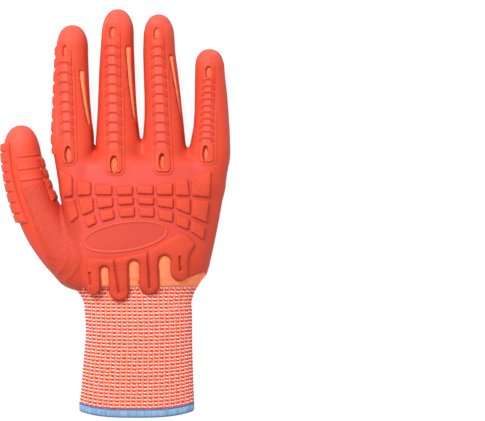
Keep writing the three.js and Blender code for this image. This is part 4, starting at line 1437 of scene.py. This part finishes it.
def round_outline(corners, reach, rounds=2):
    """An outline with its corners cut again and again, which rounds them."""
    for _ in range(rounds):
        cut = []
        for (x0, y0), (x1, y1) in zip(corners, corners[1:] + corners[:1]):
            share = min(reach / max(math.hypot(x1 - x0, y1 - y0), 1e-6), 0.25)
            cut.append((x0 + (x1 - x0) * share, y0 + (y1 - y0) * share))
            cut.append((x1 - (x1 - x0) * share, y1 - (y1 - y0) * share))
        corners = cut
        reach = reach / 2.5
    return corners


def field_form(corners):
    """Height of a field of the palm side, from its outline in shares."""
    tall = millimetres(sizes().pad_height)
    outline = [grid(u * PALM_WIDTH, CUFF_LENGTH + v * PALM_LENGTH) for u, v in corners]
    outline = round_outline([(float(a), float(b)) for a, b in outline], 5.0)

    def form(x, y):
        away = outline_distance(x, y, outline)
        return np.where(away < 0.9, tall * step(-away, -0.8, 1.4) - 0.04, SUNK)
    return form, outline


def pad_form(digit_name, span, half):
    """Height of a pad on the palm side of a digit."""
    tall = millimetres(sizes().pad_height)
    digit = DIGITS[digit_name]

    def form(x, y):
        along, across = digit.place(*plan(x, y))
        wide, _, _ = digit.section(along)
        side = np.abs(across) - half * wide
        ends = np.maximum(span[0] - along, along - span[1]) * digit.length
        away = boxed(side, ends, 3.2)
        return np.where(away < 0.6, tall * step(-away, -0.5, 0.9) - 0.04, SUNK)
    return form


# Geometry nodes


def instance_tree(name):
    """Nodes that set a small rounded yarn on each point of a mesh.

    Each point carries the way it faces and its turn in attributes; the length and the width come
    in as inputs.
    """
    tree = bpy.data.node_groups.new(name, "GeometryNodeTree")
    face = tree.interface
    face.new_socket("Geometry", in_out="INPUT", socket_type="NodeSocketGeometry")
    length = face.new_socket("Length", in_out="INPUT", socket_type="NodeSocketFloat")
    width = face.new_socket("Width", in_out="INPUT", socket_type="NodeSocketFloat")
    uneven = face.new_socket("Unevenness", in_out="INPUT", socket_type="NodeSocketFloat")
    seed = face.new_socket("Seed", in_out="INPUT", socket_type="NodeSocketInt")
    paint = face.new_socket("Material", in_out="INPUT", socket_type="NodeSocketMaterial")
    face.new_socket("Geometry", in_out="OUTPUT", socket_type="NodeSocketGeometry")
    start = tree.nodes.new("NodeGroupInput")
    end = tree.nodes.new("NodeGroupOutput")

    def node(kind, settings=None, inputs=None):
        made = tree.nodes.new(kind)
        for key, value in (settings or {}).items():
            setattr(made, key, value)
        for key, value in (inputs or {}).items():
            if isinstance(value, bpy.types.NodeSocket):
                tree.links.new(value, made.inputs[key])
            else:
                made.inputs[key].default_value = value
        return made

    ball = node("GeometryNodeMeshIcoSphere", None, {"Radius": 0.5, "Subdivisions": 1})
    smooth = node("GeometryNodeSetShadeSmooth", None, {"Geometry": ball.outputs["Mesh"]})
    facing = node("GeometryNodeInputNamedAttribute", {"data_type": "FLOAT_VECTOR"},
                  {"Name": "facing"})
    running = node("GeometryNodeInputNamedAttribute", {"data_type": "FLOAT_VECTOR"},
                   {"Name": "running"})
    first = node("FunctionNodeAlignRotationToVector", {"axis": "Z"},
                 {"Vector": facing.outputs["Attribute"]})
    second = node("FunctionNodeAlignRotationToVector", {"axis": "X", "pivot_axis": "Z"},
                  {"Rotation": first.outputs["Rotation"],
                   "Vector": running.outputs["Attribute"]})
    chance = node("FunctionNodeRandomValue", {"data_type": "FLOAT"},
                  {"Seed": start.outputs["Seed"]})
    chance.inputs[2].default_value = -1.0
    chance.inputs[3].default_value = 1.0
    swing = node("ShaderNodeMath", {"operation": "MULTIPLY"}, {0: chance.outputs[1],
                                                               1: start.outputs["Unevenness"]})
    grow = node("ShaderNodeMath", {"operation": "ADD"}, {0: swing.outputs[0], 1: 1.0})
    long = node("ShaderNodeMath", {"operation": "MULTIPLY"}, {0: grow.outputs[0],
                                                              1: start.outputs["Length"]})
    size = node("ShaderNodeCombineXYZ", None, {"X": long.outputs[0],
                                               "Y": start.outputs["Width"],
                                               "Z": start.outputs["Width"]})
    spread = node("GeometryNodeInstanceOnPoints", None,
                  {"Points": start.outputs["Geometry"], "Instance": smooth.outputs[0],
                   "Rotation": second.outputs["Rotation"], "Scale": size.outputs[0]})
    real = node("GeometryNodeRealizeInstances", None, {"Geometry": spread.outputs[0]})
    painted = node("GeometryNodeSetMaterial", None, {"Geometry": real.outputs[0],
                                                     "Material": start.outputs["Material"]})
    tree.links.new(painted.outputs[0], end.inputs[0])
    keys = {"length": length.identifier, "width": width.identifier,
            "uneven": uneven.identifier, "seed": seed.identifier, "paint": paint.identifier}
    return tree, keys


def lay_yarn(name, points, facing, running, yarn, length, width, uneven, material):
    """Small yarns on points, as one plain mesh."""
    piece = make_object(name, points, [], None, smooth=False)
    for key, values in (("facing", facing), ("running", running)):
        layer = piece.data.attributes.new(key, "FLOAT_VECTOR", "POINT")
        layer.data.foreach_set("vector", np.asarray(values, np.float32).ravel())
    set_attribute(piece, "yarn", yarn)
    tree, keys = instance_tree(name)
    grow = piece.modifiers.new("yarn", "NODES")
    grow.node_group = tree
    grow[keys["length"]] = length * MM
    grow[keys["width"]] = width * MM
    grow[keys["uneven"]] = uneven
    grow[keys["seed"]] = sizes().seed
    grow[keys["paint"]] = material
    return apply_modifiers(piece)


def join(name, pieces):
    """Joins plain meshes into one object."""
    for other in bpy.context.selected_objects:
        other.select_set(False)
    for piece in pieces:
        piece.select_set(True)
    bpy.context.view_layer.objects.active = pieces[0]
    bpy.ops.object.join()
    pieces[0].name = name
    pieces[0].data.name = name
    return pieces[0]


# Cuff


def cuff_ring(y, inset, count, spread=0.0):
    """Evenly spaced points round the sleeve at a place along it, with their outward ways."""
    left, right, deep, high = [float(value) for value in sleeve_section(y)]
    wide = (right - left) / 2 - inset
    deep = deep - inset
    turn = np.linspace(0, 2 * math.pi, 1441)
    c, s = np.cos(turn), np.sin(turn)
    x = np.sign(c) * np.abs(c) ** (2 / PALM_ROUNDNESS) * wide
    z = np.sign(s) * np.abs(s) ** (2 / PALM_ROUNDNESS) * deep
    run = np.concatenate([[0], np.cumsum(np.hypot(np.diff(x), np.diff(z)))])
    at = (np.arange(count) + spread) / count * run[-1]
    px = np.interp(at % run[-1], run, x)
    pz = np.interp(at % run[-1], run, z)
    ax = np.interp((at + 0.3) % run[-1], run, x) - np.interp((at - 0.3) % run[-1], run, x)
    az = np.interp((at + 0.3) % run[-1], run, z) - np.interp((at - 0.3) % run[-1], run, z)
    reach = np.hypot(ax, az)
    out = np.stack([az / reach, np.zeros(count), -ax / reach], 1)
    along = np.stack([ax / reach, np.zeros(count), az / reach], 1)
    return np.stack([px + (left + right) / 2, np.full(count, y), pz + high], 1), out, along


def cuff_inset(y):
    """How far the knit lies within the sleeve's outline: under the rubber at its top end."""
    return 0.35 + (SKIN_WALL + GAP - 0.1) * step(y, 64.0, 74.0)


def hem_rise(x):
    """How far the cuff's rows rise towards its sides."""
    middle = (SLEEVE[0, 1] + SLEEVE[0, 2]) / 2
    half = (SLEEVE[0, 2] - SLEEVE[0, 1]) / 2
    return HEM_SAG * np.abs((x - middle) / half) ** 3


def closed_tube(name, rings, finish_name):
    """A tube of rings whose last ring meets its first, and its points."""
    points = np.concatenate(rings)
    index = np.arange(len(points)).reshape(len(rings), -1)
    over = np.roll(index, -1, 1)
    faces = np.stack([index, over, np.roll(over, -1, 0), np.roll(index, -1, 0)], -1)
    return make_object(name, points, faces.reshape(-1, 4), finish(finish_name)), points


def knit_rise(ring, y):
    """How far a ring of the knit at y rises: as the hem does, and less towards the hand."""
    low = HEM_HEIGHT + GAP
    return hem_rise(ring[:, 0]) * (1 - (y - low) / (CUFF_LENGTH - low))


def girth(y, inset):
    """Length of a ring round the cuff."""
    ring, _, _ = cuff_ring(y, inset, RING_STEPS)
    return np.linalg.norm(np.roll(ring, -1, 0) - ring, axis=1).sum()


def rib_count():
    """Number of ribs round the cuff."""
    return int(round(girth(CUFF_LENGTH * 0.5, 0.0) / millimetres(sizes().rib_pitch)))


def stage_scene():
    """Floor, light and camera."""
    mesh = bpy.data.meshes.new("floor")
    corners = [(x * FLOOR_REACH, y * FLOOR_REACH, 0)
               for x, y in ((-1, -1), (1, -1), (1, 1), (-1, 1))]
    mesh.from_pydata(corners, [], [(0, 1, 2, 3)])
    floor = bpy.data.objects.new("floor", mesh)
    bpy.context.scene.collection.objects.link(floor)
    shader = Shader("floor_white")
    mesh.materials.append(shader.set(Base_Color=(0.25, 0.25, 0.25, 1), Roughness=0.9,
                                     Specular_IOR_Level=0.0, Emission_Color=(1, 1, 1, 1),
                                     Emission_Strength=0.9))
    world = bpy.data.worlds.new("studio")
    bpy.context.scene.world = world
    world.use_nodes = True
    world.node_tree.nodes["Background"].inputs["Color"].default_value = (1, 1, 1, 1)
    world.node_tree.nodes["Background"].inputs["Strength"].default_value = 0.8
    light = bpy.data.lights.new("key", "AREA")
    light.shape = "DISK"
    light.size = LAMP_WIDTH
    light.energy = LAMP_POWER
    holder = bpy.data.objects.new("key", light)
    holder.location = LAMP_PLACE
    holder.rotation_euler = (-holder.location).to_track_quat("-Z", "Y").to_euler()
    bpy.context.scene.collection.objects.link(holder)
    view = bpy.context.scene.view_settings
    view.view_transform = "Standard"
    view.look = "None"
    view.exposure = 0.0
    view.gamma = 1.0
    centre_x, centre_y = plan(PICTURE_WIDTH / 2, PICTURE_HEIGHT / 2)
    camera = bpy.data.cameras.new("camera")
    camera.sensor_width = SENSOR_WIDTH
    camera.lens = SENSOR_WIDTH * (CAMERA_HEIGHT - FOCUS_HEIGHT) / (PICTURE_WIDTH * GRID * MM)
    camera.clip_start = 0.05
    camera.clip_end = 20.0
    holder = bpy.data.objects.new("camera", camera)
    holder.location = ((float(centre_x) + ORIGIN[0]) * MM, (float(centre_y) + ORIGIN[1]) * MM,
                       CAMERA_HEIGHT)
    bpy.context.scene.collection.objects.link(holder)
    bpy.context.scene.camera = holder


# Operators


class GLOVE_OT_stage(bpy.types.Operator):
    """Set up the floor, the light and the camera"""

    bl_idname = "glove.stage"
    bl_label = "Stage"
    bl_options = {"REGISTER", "UNDO"}

    def execute(self, context):
        stage_scene()
        return {"FINISHED"}


class GLOVE_OT_skin(bpy.types.Operator):
    """Make the dipped rubber skin of the hand"""

    bl_idname = "glove.skin"
    bl_label = "Rubber Skin"
    bl_options = {"REGISTER", "UNDO"}

    def execute(self, context):
        low = (-94.0, 46.0, -3.0)
        high = (74.0, 268.0, 46.0)
        points, quads = skin_mesh(hand_field, low, high, 1.0)
        points, quads = trimmed(points, quads, rubber_keep, hand_field)
        normal = outward(hand_field, points)
        points = points + normal * skin_relief(points)[:, None]
        points[:, 2] = np.maximum(points[:, 2], 0.05)
        piece = make_object("rubber_skin", points, quads, finish("skin"))
        mark_rubber(piece, points)
        # painted light on the fingertips
        set_attribute(piece, "tip", fingertip_light_mask(points))
        ring, depth = tip_ripples(points)
        set_attribute(piece, "ring", ring)
        set_attribute(piece, "ripple", depth)
        thicken(piece, SKIN_WALL)
        finish_piece(piece, "dipped_rubber", "rubber_shell")
        return {"FINISHED"}


class GLOVE_OT_liner(bpy.types.Operator):
    """Make the knitted liner inside the rubber"""

    bl_idname = "glove.liner"
    bl_label = "Knitted Liner"
    bl_options = {"REGISTER", "UNDO"}

    def execute(self, context):
        inset = -(SKIN_WALL + 0.12)
        low = (-92.0, 78.0, -1.0)
        high = (72.0, 266.0, 44.0)
        points, quads = skin_mesh(hand_field, low, high, 1.4, inset)
        edge = CUFF_LENGTH - 1.0
        points, quads = trimmed(points, quads, lambda x, y, z: y - edge, hand_field, inset)
        normal = outward(hand_field, points)
        rise = liner_rise(points)
        points = points + normal * rise[:, None]
        piece = make_object("liner", points, quads, finish("knit"))
        # painted light: the liner brighter at the slots and the wrist
        wrist = 1 - step(points[:, 1], 110.0, 120.0)
        set_attribute(piece, "open", np.maximum(np.clip(rise / 0.4, 0, 1), wrist))
        thicken(piece, KNIT_WALL)
        finish_piece(piece, "hand_knit", "knit_hand")
        return {"FINISHED"}


class GLOVE_OT_guards(bpy.types.Operator):
    """Make the ribbed guards on the backs of the fingers"""

    bl_idname = "glove.guards"
    bl_label = "Finger Guards"
    bl_options = {"REGISTER", "UNDO"}

    def execute(self, context):
        for name in FINGERS:
            row = GUARDS[name]
            xs = [row["top"][0], row["base"][0], row["top"][1], row["base"][1]]
            piece = raise_plan(f"guard_{name}", (min(xs) - 11, max(xs) + 13),
                               (row["tip_hole"][1] - 14, row["end"] + 6), 0.34,
                               guard_form(name), finish("ribbed"), inner=14.0, wall=0.8)
            # painted shade on grooves and wings, painted light on the flat tops, painted highlight
            # along the wings' edges
            deep, light, pink = guard_light_and_shade(row, *grid(*plan_points(piece)[:, :2].T))
            set_attribute(piece, "flank", deep)
            set_attribute(piece, "tip", light)
            set_attribute(piece, "smooth", pink)
            set_attribute(piece, "grain", np.full(len(deep), 0.15))
            finish_piece(piece, "guard_rubber", f"finger_guard_{name}")
        return {"FINISHED"}


class GLOVE_OT_knuckles(bpy.types.Operator):
    """Make the raised blocks over the knuckles"""

    bl_idname = "glove.knuckles"
    bl_label = "Knuckle Blocks"
    bl_options = {"REGISTER", "UNDO"}

    def execute(self, context):
        piece = raise_plan("knuckle_blocks", (58, 214), (168, 242), 0.42, knuckle_form,
                           finish("guard"), wall=0.8)
        finish_piece(piece, "guard_rubber", "knuckle_guard")
        return {"FINISHED"}


class GLOVE_OT_badge(bpy.types.Operator):
    """Make the bare oval frame on the back of the hand"""

    bl_idname = "glove.badge"
    bl_label = "Oval Frame"
    bl_options = {"REGISTER", "UNDO"}

    def execute(self, context):
        piece = raise_plan("oval_frame", (80, 172), (216, 257), 0.45, badge_form,
                           finish("badge"), wall=0.8)
        gx, gy = grid(*plan_points(piece)[:, :2].T)
        away = ellipse(gx, gy, BADGE["middle"], BADGE["long"], BADGE["wide"],
                       math.radians(BADGE["turn"]))
        # painted highlight along the rim
        set_attribute(piece, "smooth", np.exp(-(away / 0.8) ** 2))
        set_attribute(piece, "grain", 0.2 + 0 * away)
        finish_piece(piece, "guard_rubber", "badge_frame")
        return {"FINISHED"}


class GLOVE_OT_comb(bpy.types.Operator):
    """Make the toothed guard at the wrist"""

    bl_idname = "glove.comb"
    bl_label = "Wrist Guard"
    bl_options = {"REGISTER", "UNDO"}

    def execute(self, context):
        piece = raise_plan("wrist_guard", (84, 198), (230, 302), 0.45, comb_form,
                           finish("guard"), inner=17.0, wall=0.8)
        finish_piece(piece, "guard_rubber", "wrist_comb")
        return {"FINISHED"}


class GLOVE_OT_thumb(bpy.types.Operator):
    """Make the bars on the thumb's face and the toothed strips on its sides"""

    bl_idname = "glove.thumb"
    bl_label = "Thumb and Index Strips"
    bl_options = {"REGISTER", "UNDO"}

    def execute(self, context):
        for name, corners in THUMB_BARS.items():
            piece = raise_plan(f"{name}_raised", *around(corners), 0.4,
                               bar_form(corners, 0.7, 1.6), finish("ribbed"), inner=12.0,
                               wall=0.7)
            places = plan_points(piece)
            set_attribute(piece, "smooth", np.zeros(len(places)))
            set_attribute(piece, "grain", np.full(len(places), 0.3))
            # painted shade on the bars' flanks and towards the thumb's inner side
            set_attribute(piece, "flank", flank_and_crease_shade(places))
            finish_piece(piece, "guard_rubber", name)
        piece = raise_plan("thumb_panel_raised", (17, 80), (176, 266), 0.42, panel_form,
                           finish("skin"), inner=13.0, wall=0.7)
        mark_rubber(piece, plan_points(piece))
        finish_piece(piece, "guard_rubber", "thumb_panel")
        tooth = millimetres(sizes().tooth_height)
        strips = [
            ("thumb_guard", "thumb", THUMB_TEETH, (0.2, 0.99), (-38, 46), -1, 1.3, tooth, 0.6),
            ("thumb_web_guard", "thumb", WEB_TEETH, (0.47, 0.95), (-34, 34), 1, 0.45,
             tooth * 0.46, 2.0),
            ("index_side_guard", "index", INDEX_TEETH, (0.04, 0.9), (-32, 30), -1, 0.4,
             tooth * 0.48, 1.4),
        ]
        for name, digit_name, teeth, span, turns, side, base, tall, soft in strips:
            piece = raise_round(f"{name}_raised", digit_name, span,
                                (turns[0] - 4, turns[1] + 4), side, 0.4,
                                teeth_form(teeth, turns, base, tall, 4.0, soft),
                                finish("plain"),
                                wall=0.7)
            finish_piece(piece, "guard_rubber", name)
        return {"FINISHED"}


class GLOVE_OT_folds(bpy.types.Operator):
    """Make the folds of the rubber at the thumb's base"""

    bl_idname = "glove.folds"
    bl_label = "Thumb Folds"
    bl_options = {"REGISTER", "UNDO"}

    def execute(self, context):
        piece = raise_plan("thumb_folds", (50, 98), (236, 292), 0.45, folds_form,
                           finish("skin"), inner=17.0, wall=0.7)
        mark_rubber(piece, plan_points(piece))
        finish_piece(piece, "dipped_rubber")
        return {"FINISHED"}


class GLOVE_OT_pads(bpy.types.Operator):
    """Make the pads of the palm side"""

    bl_idname = "glove.pads"
    bl_label = "Palm Pads"
    bl_options = {"REGISTER", "UNDO"}

    def execute(self, context):
        for name, row in PAD_SPANS.items():
            digit = DIGITS[name]
            for place, span in enumerate(row["spans"], 1):
                xs, ys = grid(*digit.centre(np.linspace(*span, 5)))
                reach = row["half"] * digit.width * 0.62 / GRID + 2
                piece = raise_plan(f"pad_{name}_{place}", (xs.min() - reach, xs.max() + reach),
                                   (ys.min() - 3, ys.max() + 3), 0.6,
                                   pad_form(name, span, row["half"]), finish("pad"),
                                   inner=12.0, below=True, wall=0.7)
                finish_piece(piece, "pad_rubber", f"{name}_pad_{place}")
        for name, corners in PALM_FIELDS.items():
            form, outline = field_form(corners)
            piece = raise_plan(f"{name}_raised", *around(outline), 0.8, form, finish("pad"),
                               inner=18.0, below=True, wall=0.7)
            finish_piece(piece, "pad_rubber", name)
        return {"FINISHED"}


class GLOVE_OT_cuff(bpy.types.Operator):
    """Knit the ribbed cuff"""

    bl_idname = "glove.cuff"
    bl_label = "Ribbed Cuff"
    bl_options = {"REGISTER", "UNDO"}

    def execute(self, context):
        ribs = rib_count()
        pitch = millimetres(sizes().row_pitch)
        low = HEM_HEIGHT + GAP
        rows = int((CUFF_LENGTH - low) / pitch) + 1
        columns = ribs * RIB_POINTS
        rings = []
        light = []
        places = np.arange(low + 0.05, CUFF_LENGTH + 1.0, pitch / 2)
        for number, place in enumerate(places):
            light.append(number % 2)
            ring, out, _ = cuff_ring(place, cuff_inset(place), columns)
            wave = np.cos(2 * math.pi * np.arange(columns) / RIB_POINTS)
            ring = ring + out * (RIB_WAVE * wave)[:, None]
            ring[:, 1] += knit_rise(ring, place)
            rings.append(ring)
        for place in np.linspace(places[-1], places[0], 8):
            light.append(0)
            ring, _, _ = cuff_ring(place, cuff_inset(place) + CUFF_WALL, columns)
            ring[:, 1] += knit_rise(ring, place)
            rings.append(ring)
        tube, points = closed_tube("cuff_tube", rings, "cuff")
        set_attribute(tube, "yarn", np.zeros(len(points)))
        set_attribute(tube, "row", np.repeat(light, columns))
        chance = np.random.default_rng(sizes().seed)
        yarns = {kind: {key: [] for key in ("point", "facing", "running")} for kind in YARN_SIZES}
        for row in range(rows):
            at = low + 1.2 + row * pitch
            for kind, spread, shift, sink in ((1, 0.5, 0.0, 0.12), (2, 0.0, 0.2, 0.05),
                                              (3, 0.54, -pitch * 0.5, 0.2)):
                y = at + shift
                ring, out, run = cuff_ring(y, cuff_inset(y) + sink - 0.15, ribs, spread)
                ring[:, 1] += knit_rise(ring, y) + chance.normal(0, YARN_SCATTER, ribs)
                ring = ring + run * chance.normal(0, YARN_SCATTER, ribs)[:, None]
                slant = -0.26 if kind != 2 else 0.12
                tilt = run * np.sign(out[:, 2:3] + 1e-6)
                shown = (row < rows - 1) | (ring[:, 0] < LAST_ROW_END)
                yarns[kind]["point"].append(ring[shown])
                yarns[kind]["facing"].append(out[shown])
                yarns[kind]["running"].append((-tilt + np.array([0, slant, 0]))[shown])
        pieces = [tube]
        for kind, parts in yarns.items():
            points = np.concatenate(parts["point"])
            length, width = YARN_SIZES[kind]
            pieces.append(lay_yarn(f"cuff_yarn_{kind}", points,
                                   np.concatenate(parts["facing"]),
                                   np.concatenate(parts["running"]),
                                   np.full(len(points), kind), length, width,
                                   YARN_SCATTER, finish("cuff")))
        piece = join("ribbed_cuff", pieces)
        finish_piece(piece, "cuff_knit", "knit_cuff")
        return {"FINISHED"}


class GLOVE_OT_hem(bpy.types.Operator):
    """Stitch the hem at the end of the cuff"""

    bl_idname = "glove.hem"
    bl_label = "Stitched Hem"
    bl_options = {"REGISTER", "UNDO"}

    def execute(self, context):
        inset = 0.3
        pitch = millimetres(sizes().stitch_pitch)
        count = int(girth(HEM_HEIGHT / 2, inset) / pitch)
        columns = count * 2
        profile = [(-0.4, 0.5, 1), (0.2, -0.1, 1), (1.0, -0.3, 0), (2.4, -0.35, 0),
                   (4.2, -0.15, 0), (4.75, 0.5, 1), (4.6, 1.5, 0), (2.4, 1.8, 0), (-0.2, 1.5, 1)]
        rings = []
        for y, depth, _ in profile:
            ring, _, _ = cuff_ring(HEM_HEIGHT / 2, inset + depth, columns)
            ring[:, 1] = y + hem_rise(ring[:, 0])
            rings.append(ring)
        band, _ = closed_tube("hem_band", rings, "hem")
        set_attribute(band, "yarn", np.repeat([row[2] for row in profile], columns))
        chance = np.random.default_rng(sizes().seed)
        pieces = [band]
        ring, out, run = cuff_ring(HEM_HEIGHT / 2, inset - 0.2, count)
        ring[:, 1] = 2.2 + hem_rise(ring[:, 0]) + chance.normal(0, 0.2, count)
        up = np.tile([0.0, 1.0, 0.0], (count, 1)) + run * chance.normal(0.06, 0.08, count)[:, None]
        threads = chance.choice([0, 3, 1, 2], count, p=[0.5, 0.34, 0.14, 0.02])
        pieces.append(lay_yarn("hem_stitches", ring, out, up, threads, 4.5, 0.5, 0.25,
                               finish("hem")))
        ring, out, run = cuff_ring(HEM_HEIGHT / 2, inset - 0.05, count, 0.5)
        ring[:, 1] = HEM_HEIGHT - 0.15 + hem_rise(ring[:, 0]) + chance.normal(0, 0.25, count)
        pieces.append(lay_yarn("hem_chain", ring, out, run, np.ones(count), 1.3, 0.75, 0.2,
                               finish("hem")))
        piece = join("stitched_hem", pieces)
        finish_piece(piece, "hem_thread", "cuff_hem")
        return {"FINISHED"}


STEPS = (GLOVE_OT_stage, GLOVE_OT_skin, GLOVE_OT_liner, GLOVE_OT_guards, GLOVE_OT_knuckles,
         GLOVE_OT_badge, GLOVE_OT_comb, GLOVE_OT_thumb, GLOVE_OT_folds, GLOVE_OT_pads,
         GLOVE_OT_cuff, GLOVE_OT_hem)


class GLOVE_PT_panel(bpy.types.Panel):
    """Steps that build the glove"""

    bl_idname = "GLOVE_PT_panel"
    bl_label = "Impact Glove"
    bl_space_type = "VIEW_3D"
    bl_region_type = "UI"
    bl_category = "Glove"

    def draw(self, context):
        for stepping in STEPS:
            self.layout.operator(stepping.bl_idname)


CLASSES = (GloveSizes, GloveColours, *STEPS, GLOVE_PT_panel)


def register():
    """Registers the classes and the scene's settings."""
    for kind in CLASSES:
        bpy.utils.register_class(kind)
    bpy.types.Scene.glove_sizes = PointerProperty(type=GloveSizes)
    bpy.types.Scene.glove_colours = PointerProperty(type=GloveColours)


def unregister():
    """Takes the settings and the classes out again."""
    del bpy.types.Scene.glove_colours
    del bpy.types.Scene.glove_sizes
    for kind in reversed(CLASSES):
        bpy.utils.unregister_class(kind)


def main():
    """Makes the glove, one operator after the other."""
    register()
    bpy.ops.glove.stage()
    bpy.ops.glove.skin()
    bpy.ops.glove.liner()
    bpy.ops.glove.guards()
    bpy.ops.glove.knuckles()
    bpy.ops.glove.badge()
    bpy.ops.glove.comb()
    bpy.ops.glove.thumb()
    bpy.ops.glove.folds()
    bpy.ops.glove.pads()
    bpy.ops.glove.cuff()
    bpy.ops.glove.hem()


if __name__ == "__main__":
    main()
